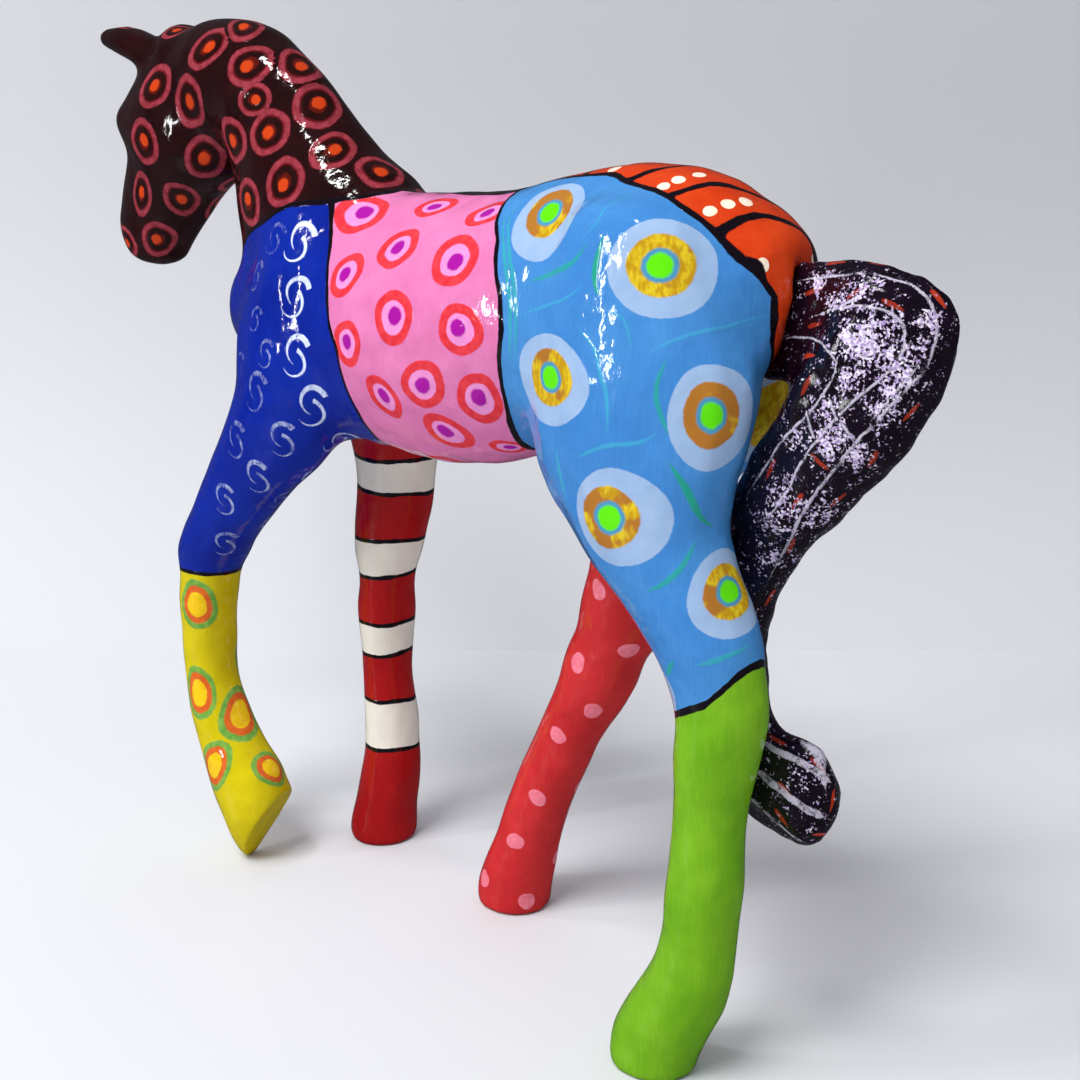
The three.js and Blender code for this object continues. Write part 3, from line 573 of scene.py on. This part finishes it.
def drawn(curve, step=2.0):
    """A smooth curve through its places: a Catmull-Rom spline, in straight steps of about step mm."""
    knots = np.array(curve, float)
    knots = np.concatenate([[2 * knots[0] - knots[1]], knots, [2 * knots[-1] - knots[-2]]])
    t = np.linspace(0, 1, 9)[:-1, None]
    parts = [0.5 * (2 * b + (c - a) * t + (2 * a - 5 * b + 4 * c - d) * t ** 2 + (3 * b - a - 3 * c + d) * t ** 3)
             for a, b, c, d in zip(knots[:-3], knots[1:-2], knots[2:-1], knots[3:])]
    line = np.concatenate(parts + [knots[-2:-1]])
    way = np.concatenate([[0], np.cumsum(np.linalg.norm(np.diff(line, axis=0), axis=1))])
    even = np.linspace(0, way[-1], max(3, int(way[-1] / step)))
    return np.stack([np.interp(even, way, line[:, i]) for i in range(3)], 1)


def stroked(stroke, which, curves, reach):
    """Writes the nearest brush stroke within reach mm into the corners of the faces in which. The distance across
    is signed, at right angles to the stroke and to the surface."""
    starts, steps, along, span, strength = [], [], [], [], []
    for force, *curve in curves:
        line = drawn(curve)
        pieces = np.diff(line, axis=0)
        lengths = np.linalg.norm(pieces, axis=1)
        starts.append(line[:-1])
        steps.append(pieces / lengths[:, None])
        along.append(np.concatenate([[0], np.cumsum(lengths)[:-1]]))
        span.append(np.full(len(pieces), lengths.sum()))
        strength.append(np.full(len(pieces), force))
    starts, steps, along, span, strength = map(np.concatenate, (starts, steps, along, span, strength))
    for part in np.array_split(which, 60):
        away = ((centres[part][:, None] - starts - steps) ** 2).sum(2)
        nearest = np.argmin(away, 1)
        close = np.sqrt(away.min(1)) < reach
        part, nearest = part[close], nearest[close]
        to_corner = points[faces[part]] - starts[nearest][:, None]
        stroke[part, :, 0] = measured(to_corner, unit(np.cross(facing[part], steps[nearest])))
        forward = measured(to_corner, steps[nearest]) + along[nearest][:, None]
        stroke[part, :, 1] = forward / span[nearest][:, None]
        stroke[part, :, 2] = strength[nearest][:, None]


stroke = np.full(faces.shape + (3,), NO_MOTIF)
wisps = WISPS + [(force * 0.9, *[(px + 3, -py, pz - 2) for px, py, pz in line]) for force, *line in WISPS[:10]]
stroked(stroke, np.flatnonzero(own["sky_blue"]), wisps, 5)

# ------------------------------ paints and varnish
# Artists' acrylics, brushed thin enough to show the strokes, under two coats of high gloss varnish.
# Every zone has one paint: its ground, its motifs, then the black line along its border.


class Painted(Finish):
    """A zone's paint: it knows the depth inside the zone and the nearest motif, and ends in gloss varnish."""

    def __init__(self, name):
        super().__init__(name)
        self.depth = self.node("Attribute", {"attribute_name": "depth"}, out="Fac")
        self.across, self.up, self.strength = self.nearest_mark("motif")
        self.fine = self.grain(1.6, detail=3, shift=2)

    def nearest_mark(self, field):
        """The three numbers that the faces keep of their nearest motif or stroke."""
        kept = self.node("Attribute", {"attribute_name": field}, out="Vector")
        return [self.part_of(kept, part) for part in "XYZ"]

    def ground(self, low, high, size, stretch=(1, 1, 1)):
        """Two mixes of one colour, laid in broad strokes and cut by fine bristle marks."""
        broad = self.grain(size, stretch, detail=3)
        bristle = self.grain(0.7, (1, 1, 9), detail=2, shift=5)
        share = (broad * 0.8 + bristle * 0.35 - 0.2).over(0.42, 0.35)
        return self.blend(share, mixed(low), mixed(high))

    def from_heart(self, wander=0.0):
        """The distance from the motif's heart in radii; the heart wanders by a share of the radius."""
        if not wander:
            return self.across.hypot(self.up)
        turn = self.strength * 40
        return (self.across - turn.sine() * wander).hypot(self.up - (turn * 1.3 + 1).sine() * wander)

    def varnished(self, colour, relief, line=0.8):
        """Lays the black border, line mm wide in this zone, then the varnish with its ripples and brush marks."""
        wobble = self.grain(4.5, detail=2, shift=7)
        border = (self.depth + wobble * 0.9).under(line + 0.45, 0.13)
        colour = self.blend(border, colour, BLACK)
        ripple = self.grain(8, detail=1, shift=9) * 0.75 + self.grain(2.2, detail=2, shift=4) * 0.09
        rough = self.grain(3.0, detail=2, shift=1) * 0.07 + 0.045
        return self.close(colour, rough, relief + border * 0.10 + ripple, IOR=1.5, Specular_IOR_Level=0.42)


def ringed(name, low, high, size, bands, core, heart, wander=0.1, rough_edge=0.10):
    """Ground with round motifs: bands from the rim inwards, each (radius, thin mix, thick mix) as shares of the
    motif's radius, then a dot of radius core near the middle."""
    paint = Painted(name)
    away = paint.from_heart() + (paint.fine - 0.5) * rough_edge
    heart_away = paint.from_heart(wander) + (paint.fine - 0.5) * 0.12
    colour = paint.ground(low, high, size)
    dry = paint.grain(2.4, detail=4, shift=6).over(0.5, 0.2)
    for radius, thin, thick in bands:
        colour = paint.blend(away.under(radius, 0.03), colour, paint.blend(dry, mixed(thin), mixed(thick)))
    dot = heart_away.under(core, 0.05)
    colour = paint.blend(dot, colour, mixed(heart))
    raised = away.under(bands[0][0], 0.05) * 0.05 - away.under(bands[1][0], 0.05) * 0.04 + dot * 0.06
    return paint.varnished(colour, raised)


paints = {}
paints["maroon"] = ringed("maroon_ringed_paint", "190709", "2b0c0e", 12, (
    (1.03, "4a0e14", "4f1016"), (0.99, "7d2933", "9b3b47"), (0.74, "5a1017", "66131a"), (0.66, "1d0808", "280b0b"),
    (0.36, "4c100c", "5a130c")), 0.27, "c33e14")
paints["pink"] = ringed("pink_ringed_paint", "d470a6", "e284b8", 14, (
    (1.0, "d62f3b", "e2404a"), (0.62, "e488c6", "ea94ce")), 0.34, "a4149a", wander=0.08, rough_edge=0.06)
paints["yellow"] = ringed("yellow_spotted_paint", "c4b30c", "d8c614", 13, (
    (1.0, "5f9a3c", "86b04e"), (0.76, "cc5a22", "dc6a2a"), (0.50, "e0b414", "eec61e")), 0.3, "ecc01a", wander=0.12)
paints["coral"] = ringed("coral_dotted_paint", "be2529", "d63638", 14, (
    (1.0, "ea7082", "f4879a"), (0.5, "ec7488", "f27e90")), 0.3, "f0808f")
paints["orange"] = ringed("orange_dotted_paint", "c8340f", "e04c1c", 10, (
    (1.0, "fae0c4", "fdeedc"), (0.5, "fbe6cf", "fff0e0")), 0.3, "fff2e2")

# The shoulder's comma strokes: two bent strokes that hold one another, each an arc that falls from a round head
# to a thin tail, laid with a nearly dry brush so that the blue shows between the bristles.
TURN = 6.283
shoulder = Painted("royal_blue_paint")


def comma(paint, middle, radius, start, sweep, wide, thin):
    """An arc of radius round middle, from the angle start through sweep; its half width goes from wide to
    thin. Gives the share of paint on it."""
    a, b = paint.across - middle[0], paint.up - middle[1]
    turn = (b * np.cos(start) - a * np.sin(start)).angle(a * np.cos(start) + b * np.sin(start)) * np.sign(sweep)
    turn = turn + turn.under(-0.12, 0.001) * TURN
    share = turn / abs(sweep)
    half = (share * (thin - wide) + wide) * (share * 9 + 1.1).least(1).most(0)
    return (abs(a.hypot(b) - radius) - half).under(0.0, 0.03) * share.under(1.0, 0.05)


marks = comma(shoulder, (0.10, 0.27), 0.66, 0.50, 3.6, 0.165, 0.015).most(
    comma(shoulder, (-0.25, -0.22), 0.62, 1.00, -3.7, 0.105, 0.015))
bristles = shoulder.grain(0.55, (1, 1, 3), detail=3, shift=8)
patchy = shoulder.grain(2.6, detail=3, shift=3)
cover = marks * (bristles * 0.8 + patchy * 0.9 + shoulder.strength * 0.42).over(1.02, 0.22)
blue = shoulder.ground("081d86", "0f2c9e", 18)
blue = shoulder.blend(cover * (shoulder.strength * 0.9 + 0.06), blue, mixed("dbe6fa"))
paints["royal_blue"] = shoulder.varnished(blue, cover * 0.06)

# The haunch's discs: a thin pale disc, a brushed gold ring with ochre in it, a grey blue ring and a green heart.
haunch = Painted("sky_blue_paint")
away = haunch.from_heart() + (haunch.fine - 0.5) * 0.035
inner = haunch.from_heart(0.17) + (haunch.fine - 0.5) * 0.06
sky = haunch.ground("3a7cc2", "4f94d2", 24)
thin_paint = haunch.grain(6, (1, 1, 2), detail=4, shift=5)
sky = haunch.blend(away.under(1.0, 0.015) * (thin_paint * 0.45 + 0.62), sky, mixed("a2bada"))
dry = haunch.grain(1.5, (1, 1, 2), detail=4, shift=6).over(0.52, 0.14)
gilt = haunch.blend(dry, mixed("bb8f16"), mixed("dcc026"))
ochre = (haunch.grain(9, detail=2, shift=2) + haunch.strength * 0.42).over(0.73, 0.04)
gilt = haunch.blend(ochre, gilt, mixed("ab702b"))
sky = haunch.blend(inner.under(0.63, 0.025), sky, gilt)
hearted = haunch.strength.over(-0.5, 0.1)
sky = haunch.blend(inner.under(0.345, 0.03) * hearted, sky, mixed("4a90b4"))
sky = haunch.blend(inner.under(0.25, 0.035) * hearted, sky, mixed("5fdf10"))
offset, forward, force = haunch.nearest_mark("stroke")
taper = (forward * (1 - forward) * 4).most(0.0).least(1.0)
wide = taper * (force * 0.8 + 0.15) + (thin_paint - 0.5) * 0.9
wisp_cover = (abs(offset) - wide).under(0.0, 0.35) * forward.over(0.0, 0.02) * forward.under(1.0, 0.02)
wisp_cover = wisp_cover * away.over(1.0, 0.04) * force.under(2, 0.1)
teal = haunch.blend(force.over(0.7, 0.2), mixed("3fb0c8"), mixed("1aa070"))
sky = haunch.blend(wisp_cover * (force * 0.5 + 0.3).least(0.8), sky, teal)
paints["sky_blue"] = haunch.varnished(sky, inner.under(0.63, 0.05) * 0.08 + wisp_cover * 0.05, line=0.9)

for zone, low, high, line in (("green", "66a415", "86bc28", 1.3), ("red", "980e14", "b41a1c", 0.8),
                              ("cream", "e2dccf", "f1ece2", 0.8)):
    plain = Painted(zone + "_paint")
    paints[zone] = plain.varnished(plain.ground(low, high, 13, (1, 1, 2)), plain.fine * 0.01, line=line)

# ------------------------------ the skin, piece by piece
# The finished surface is cut along the joints of the shells, so that each shell has its own painted skin.
# Both sides of a cut share their points and normals, and a fan inside closes every cut.


def same_group(count, edges):
    """For each of count points the lowest number among the points that edges join it to, near or far."""
    group = np.arange(count)
    while True:
        lower = np.minimum(group[edges[:, 0]], group[edges[:, 1]])
        joined = group.copy()
        np.minimum.at(joined, edges[:, 0], lower)
        np.minimum.at(joined, edges[:, 1], lower)
        joined = joined[joined]
        if (joined == group).all():
            return group
        group = joined


def cut_piece(name, chosen, slots, finishes, fields):
    """A mesh of the chosen faces. A rim runs where a face's edge has no neighbour; each rim gets a point at its
    mean, and triangles from there to the rim close the piece. Fields are corner attributes of the surface."""
    quads = faces[chosen]
    directed = np.stack([quads, np.roll(quads, -1, 1)], 2).reshape(-1, 2)
    code = directed[:, 0].astype(np.int64) * len(points) + directed[:, 1]
    back = directed[:, 1].astype(np.int64) * len(points) + directed[:, 0]
    rim = directed[~np.isin(back, code)]
    used, local = np.unique(quads, return_inverse=True)
    quads = local.reshape(quads.shape)
    rim = np.searchsorted(used, rim)
    group = same_group(len(used), rim)[rim[:, 0]]
    rims, rim_number = np.unique(group, return_inverse=True)
    hearts = [points[used][np.unique(rim[group == number])].mean(0) for number in rims]
    fans = np.stack([rim[:, 1], rim[:, 0], len(used) + rim_number], 1)
    every = np.concatenate([points[used], np.reshape(hearts, (-1, 3))])
    mesh = bpy.data.meshes.new(name)
    mesh.from_pydata(every / 1000, [], quads.tolist() + fans.tolist())
    mesh.shade_smooth()
    flat = unit(np.cross(every[fans[:, 1]] - every[fans[:, 0]], every[fans[:, 2]] - every[fans[:, 0]]))
    corner_normals = np.concatenate([normals[used][quads].reshape(-1, 3), flat.repeat(3, 0)])
    mesh.normals_split_custom_set(corner_normals)
    present = np.unique(slots[chosen])
    for number in present:
        mesh.materials.append(finishes[number])
    index = np.concatenate([np.searchsorted(present, slots[chosen]), np.zeros(len(fans), int)])
    mesh.polygons.foreach_set("material_index", index.astype(np.int32))
    for field, values in fields.items():
        width = values.shape[2] if values.ndim == 3 else 1
        rest = np.full((len(fans) * 3, width), NO_MOTIF)
        whole = np.concatenate([values[chosen].reshape(-1, width), rest]).astype(np.float32)
        made = mesh.attributes.new(field, "FLOAT_VECTOR" if width == 3 else "FLOAT", "CORNER")
        made.data.foreach_set("vector" if width == 3 else "value", whole.ravel())
    mesh.validate()
    return in_scene(name, mesh)


for number, shell in enumerate(BODY_SHELLS):
    skin = cut_piece(shell + "_skin", shell_of == number, zone_of, [paints[name] for name in ZONES],
                     {"depth": depth, "motif": motif, "stroke": stroke})
    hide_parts(shell)
    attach(skin, "root")

# ------------------------------ tail and tuft
# The tail is a paper core built up with twisted strips into locks, rougher than the body, painted near black.
# Silver hair lines are combed over it in three loops, with short red dashes between; the tuft hangs below.

TAIL_CELL = 0.95  # mm between the points of its surface
ROOT_LEAN = 2.5  # mm that the root leans away from the haunch
RIDGE_HEIGHT, RIDGE_WIDTH = 0.28, 0.8  # mm, of the hair lines

points, faces, edges, shell_of = pasted_over(("tail", "tail_tuft"), TAIL_CELL, SEAM_FILL)
smooth = sanded(points, edges, 40)
points = smooth + sanded(points - smooth, edges, 24) * 0.5
points -= outward(points, faces) * SEAM_FILL * SHRINKING
twists = lumps(points, 0.10, 4, 9, seed=9) + lumps(points, 0.38, 12, 26, seed=10)
points += outward(points, faces) * twists[:, None]
points = np.clip(points, limits[0], limits[1])

# a hair line: its half width in mm, then its places
HAIR = [
    (0.36, (-131, 6, 222), (-139, 5, 223), (-151, 5, 224), (-165, 3, 221), (-171, 4, 214), (-171, 6, 205),
     (-163, 9, 194), (-151, 9, 180), (-140, 7, 166), (-133, 4, 155), (-127, 3, 144)),
    (0.32, (-142, 8, 215), (-155, 9, 217), (-164, 9, 215), (-166, 9, 209), (-162, 9, 202), (-153, 12, 193),
     (-142, 11, 180), (-136, 10, 170), (-130, 8, 161)),
    (0.28, (-128, 6, 207), (-136, 7, 208), (-144, 11, 208), (-150, 12, 204), (-149, 12, 200), (-144, 11, 192),
     (-137, 11, 185), (-133, 10, 181), (-125, 9, 169)),
    (0.45, (-141, 7, 214), (-147, 8, 216), (-153, 8, 219)),
    (0.36, (-169, 8, 204), (-164, 9, 197), (-158, 9, 190)),
    (0.34, (-155, 9, 186), (-151, 11, 190), (-148, 12, 195)),
    (0.3, (-148, 9, 180), (-144, 11, 186), (-142, 12, 192)),
    (1.0, (-128, 5, 101), (-138, 3, 97), (-147, -1, 92)),
    (0.95, (-128, 7, 92), (-138, 7, 88), (-147, 2, 83)),
    (0.75, (-127, 6, 84), (-136, 6, 79), (-142, 3, 75)),
]
DASHES = [(-140, 7, 211), (-137, 4, 219), (-152, 7, 220), (-162, 9, 218), (-140, 9, 204), (-141, 11, 197),
          (-167, 6, 193), (-158, 7, 181), (-148, 5, 168), (-146, 11, 179), (-139, 9, 168), (-157, 11, 209),
          (-153, 0, 227), (-141, 1, 226), (-170, 2, 219), (-131, 10, 175), (-134, 4, 155), (-126, 0, 138),
          (-131, 1, 99), (-143, 0, 96), (-147, -1, 87), (-137, 7, 81), (-145, 1, 78), (-137, 6, 89)]
# patches of specks between the hair lines, partly dry-brushed silver paint and partly painted glints of the varnish:
# place, reach in mm, density
SILVER_AND_GLINTS = [(-157, 11, 209, 8.5, 1.0), (-164, 9, 204, 6, 1.0), (-153, 12, 199, 4, 0.9), (-163, 9, 198, 4, 1.0),
          (-170, 5, 214, 3.5, 0.9), (-169, 7, 209, 3.5, 0.7), (-162, 9, 193, 4, 0.9), (-149, 11, 185, 6, 0.85),
          (-138, 5, 221, 3.5, 0.9), (-148, 7, 218, 5, 0.8), (-154, 7, 221, 4, 0.8), (-140, 11, 184, 4, 0.7),
          (-148, 12, 191, 5, 0.75), (-155, 9, 182, 5, 0.8), (-142, 6, 165, 6, 0.7), (-135, 10, 169, 5, 0.7),
          (-132, 8, 161, 5, 0.7), (-129, 4, 151, 5, 0.6), (-140, 3, 95, 5, 0.35), (-137, 6, 89, 4, 0.25)]
normals = outward(points, faces)
hair_lines = HAIR + [(half, *[other_side(place) for place in line]) for half, *line in HAIR]
facing = normals[faces].mean(1)
centres = points[faces].mean(1)
strand = np.full(faces.shape + (3,), NO_MOTIF)
stroked(strand, np.arange(len(faces)), hair_lines, 4.5)

# the hair lines stand up as thin ridges: a bell curve of each point's mean distance from the nearest line
count = np.bincount(faces.ravel(), minlength=len(points))
offset_at = np.bincount(faces.ravel(), np.minimum(np.abs(strand[..., 0]), 9).ravel(), len(points)) / count
points += outward(points, faces) * (RIDGE_HEIGHT * np.exp(-(offset_at / RIDGE_WIDTH) ** 2))[:, None]
points = np.clip(points, limits[0], limits[1])
motif = np.full(faces.shape + (3,), NO_MOTIF)


def along_tail(place):
    """The turn that lays a dash along the nearest hair line."""
    lines = [drawn(line) for half, *line in hair_lines]
    starts = np.concatenate([line[:-1] for line in lines])
    steps = np.concatenate([np.diff(line, axis=0) for line in lines])
    step = steps[np.argmin(((starts - place) ** 2).sum(1))]
    across, up = motif_frame(place, 0)[2:]
    return np.arctan2(step @ up, step @ across)


dashes = DASHES + [other_side(place) for place in DASHES if place[1] > 3]
frames = [motif_frame(place, along_tail(place) + chance.uniform(-0.25, 0.25)) for place in dashes]
heart, out, across, up = (np.array(part) for part in zip(*frames))
nearest = nearest_to(centres, heart)
away = points[faces] - heart[nearest][:, None]
motif[..., 0] = measured(away, across[nearest])
motif[..., 1] = measured(away, up[nearest])
motif[..., 2] = chance.uniform(0.2, 1, len(dashes))[nearest][:, None]
motif[(facing * out[nearest]).sum(1) < 0.2] = NO_MOTIF

# how thickly the specks lie: partly silver paint, partly painted glints
silver_and_glints = np.zeros(faces.shape)
for *place, reach, density in SILVER_AND_GLINTS + [other_side(row) for row in SILVER_AND_GLINTS]:
    away = ((points[faces] - place) ** 2).sum(2)
    silver_and_glints = np.maximum(silver_and_glints, density * np.exp(-away / reach ** 2))

tail = Painted("night_paint")
night = tail.ground("0d0610", "190d1e", 8)
dab = tail.up * (tail.across * 0.35 + 4.6)
dash = (dab.hypot(tail.across) + (tail.fine - 0.5) * 2.2).under(2.9, 0.45)
night = tail.blend(dash * (tail.strength * 0.55 + 0.35), night, mixed("b8391e"))
offset, forward, half = tail.nearest_mark("stroke")
scratchy = tail.grain(0.8, detail=4, shift=4)
broken = tail.grain(4.0, detail=3, shift=8)
taper = (forward * (1 - forward) * 14).most(0.0).least(1.0)
line = (abs(offset + (broken - 0.5) * 1.2) + (scratchy - 0.5) * 0.9 - half * taper).under(0.0, 0.14)
line = line * (broken + scratchy * 0.5).over(0.68, 0.12) * half.under(2.0, 0.1)
night = tail.blend(line * 0.85, night, mixed("cfc9dc"))
# lilac and white specks: partly dry-brushed silver, partly painted glints that stand in for highlights on the
# crinkled varnish
density = tail.node("Attribute", {"attribute_name": "silver_and_glints"}, out="Fac")
crumbs = tail.grain(0.8, detail=5, shift=12) * 0.8 + tail.grain(2.6, detail=3, shift=5) * 0.5
speck_and_glint = (crumbs + density * 0.20).over(0.79, 0.03)
night = tail.blend(speck_and_glint, night, tail.blend(scratchy.over(0.5, 0.1), mixed("a98fc4"), mixed("ece4f4")))
relief = scratchy * 0.05 + line * 0.12 + speck_and_glint * 0.08
tail_finish = tail.varnished(night, relief, line=-3)

# the root leans sideways, more and more from 147 to 131 mm behind the middle and from 193 to 205 mm up
points[:, 1] -= ROOT_LEAN * np.clip((points[:, 0] + 147) / 16, 0, 1) * np.clip((points[:, 2] - 193) / 12, 0, 1)
normals = outward(points, faces)
borderless = np.full(faces.shape, NO_MOTIF)
for number, shell in enumerate(("tail", "tail_tuft")):
    skin = cut_piece(shell + "_skin", shell_of == number, np.zeros(len(faces), int), [tail_finish],
                     {"depth": borderless, "motif": motif, "stroke": strand, "silver_and_glints": silver_and_glints})
    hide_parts(shell)
    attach(skin, "root")

# ------------------------------ studio
# A white table top and a pale grey card behind it, lit by a wide soft lamp above, a tall narrow lamp at the
# left and a small one overhead, whose reflections are the broken highlights in the varnish.

CAMERA = np.array((-0.3381, 0.3093, 0.2490))  # m
HEADING = np.array((0.692, -0.722))  # the way the camera looks, along the table
PITCH = np.radians(14.4)  # and down
CARD_AT, CARD_HEIGHT = 0.736, 2.6  # m from the camera, m
MIDDLE = Vector((-0.02, 0, 0.17))  # of the foal, which the lamps face

card_foot = CAMERA[:2] + HEADING * CARD_AT
aside = np.array((HEADING[1], -HEADING[0])) * 3  # to the card's end, m


def stage_sheet(name, corners, finish):
    """A flat sheet of the studio, which is no part of the foal."""
    mesh = bpy.data.meshes.new(name)
    mesh.from_pydata(corners, [], [(0, 1, 2, 3)])
    mesh.materials.append(finish)
    sheet = in_scene(name, mesh)
    sheet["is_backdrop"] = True


table = Finish("white_table")
table_tone_and_reflected_shade = table.blend(table.grain(420, detail=1), mixed("dcdee3"), mixed("e2e3e6"))
# painted shade in reflections: the varnish sees the table darker, as if shaded below the foal
table_tone_and_reflected_shade = table.blend(table.node("LightPath", out="Is Glossy Ray"), table_tone_and_reflected_shade, mixed("505155"))
table_white = table.close(table_tone_and_reflected_shade, 0.42, Specular_IOR_Level=0.25)
card = Finish("pale_card")
card_height = card.part_of(card.node("TexCoord", out="Object"), "Z")
# painted shade: the card is painted darker towards its top, where less light reaches it
card_colour_with_painted_shade = card.blend(card_height.under(0.16, 0.17), mixed("c4c5c9"), mixed("e6e8ec"))
# painted shade in reflections: the varnish sees the card much darker than the camera does
card_colour_with_painted_shade = card.blend(card.node("LightPath", out="Is Glossy Ray"), card_colour_with_painted_shade, mixed("38393d"))
card_paper = card.node("BsdfPrincipled", Base_Color=card_colour_with_painted_shade, Roughness=0.7)
card_shader = card.node("MixShader", Fac=card.node("NewGeometry", out="Backfacing"), Shader=card_paper,
                        Shader_001=card.node("BsdfTransparent"))
card.node("OutputMaterial", Surface=card_shader)
near_edge, far_edge = card_foot - HEADING * 3, card_foot + HEADING * 2
stage_sheet("table_top", [(*(near_edge - aside), 0), (*(far_edge - aside), 0),
                          (*(far_edge + aside), 0), (*(near_edge + aside), 0)], table_white)
stage_sheet("back_card", [(*(card_foot + aside * end), height)
                          for end, height in ((-1, 0), (1, 0), (1, CARD_HEIGHT), (-1, CARD_HEIGHT))], card.made)


def lamp(name, azimuth, elevation, distance, width, height, power):
    """A flat lamp that faces the foal: where it hangs in degrees and m, its size in m, and its power in W."""
    data = bpy.data.lights.new(name, "AREA")
    data.shape, data.size, data.size_y, data.energy = "RECTANGLE", width, height, power
    placed = in_scene(name, data)
    turn, rise = np.radians((azimuth, elevation))
    way = Vector((np.cos(rise) * np.cos(turn), np.cos(rise) * np.sin(turn), np.sin(rise)))
    placed.location = MIDDLE + way * distance
    placed.rotation_euler = way.to_track_quat("Z", "Y").to_euler()
    return placed


sky_panel = lamp("sky_panel", 99, 56, 2.2, 0.9, 0.9, 38.5)
sky_panel.visible_glossy = False  # a polarising film keeps its broad glare out of the varnish
lamp("side_strip", 62, 14, 0.9, 0.04, 0.36, 2.0)
lamp("top_spot", 60, 66, 1.0, 0.07, 0.13, 1.5)

# the room: pale where the camera sees it, dimmer as a source of light, dimmest as a reflection
SEEN, LIGHTING, MIRRORED = 0.86, 0.38, 0.08
room = Finish("studio", bpy.data.worlds)
seen = room.node("LightPath", out="Is Camera Ray") * (SEEN - LIGHTING) + LIGHTING
mirrored = room.node("LightPath", out="Is Glossy Ray")
brightness = seen * (1 - mirrored) + mirrored * MIRRORED
room.node("OutputWorld", Surface=room.node("Background", Color=(0.95, 0.97, 1.0), Strength=brightness))
bpy.context.scene.world = room.made

lens = bpy.data.cameras.new("photograph")
lens.lens, lens.sensor_width = 48.73, 36  # mm
camera = in_scene("photograph", lens)
camera.location = CAMERA
look = Vector((*(HEADING * np.cos(PITCH)), -np.sin(PITCH)))
camera.rotation_euler = look.to_track_quat("-Z", "Y").to_euler()
bpy.context.scene.camera = camera
bpy.context.scene.view_settings.view_transform = "Standard"

bpy.context.view_layer.update()
sizes = {"cad": cad_box, "visual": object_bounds()}
sizes = {name: [[round(float(value), 5) for value in corner] for corner in box] for name, box in sizes.items()}
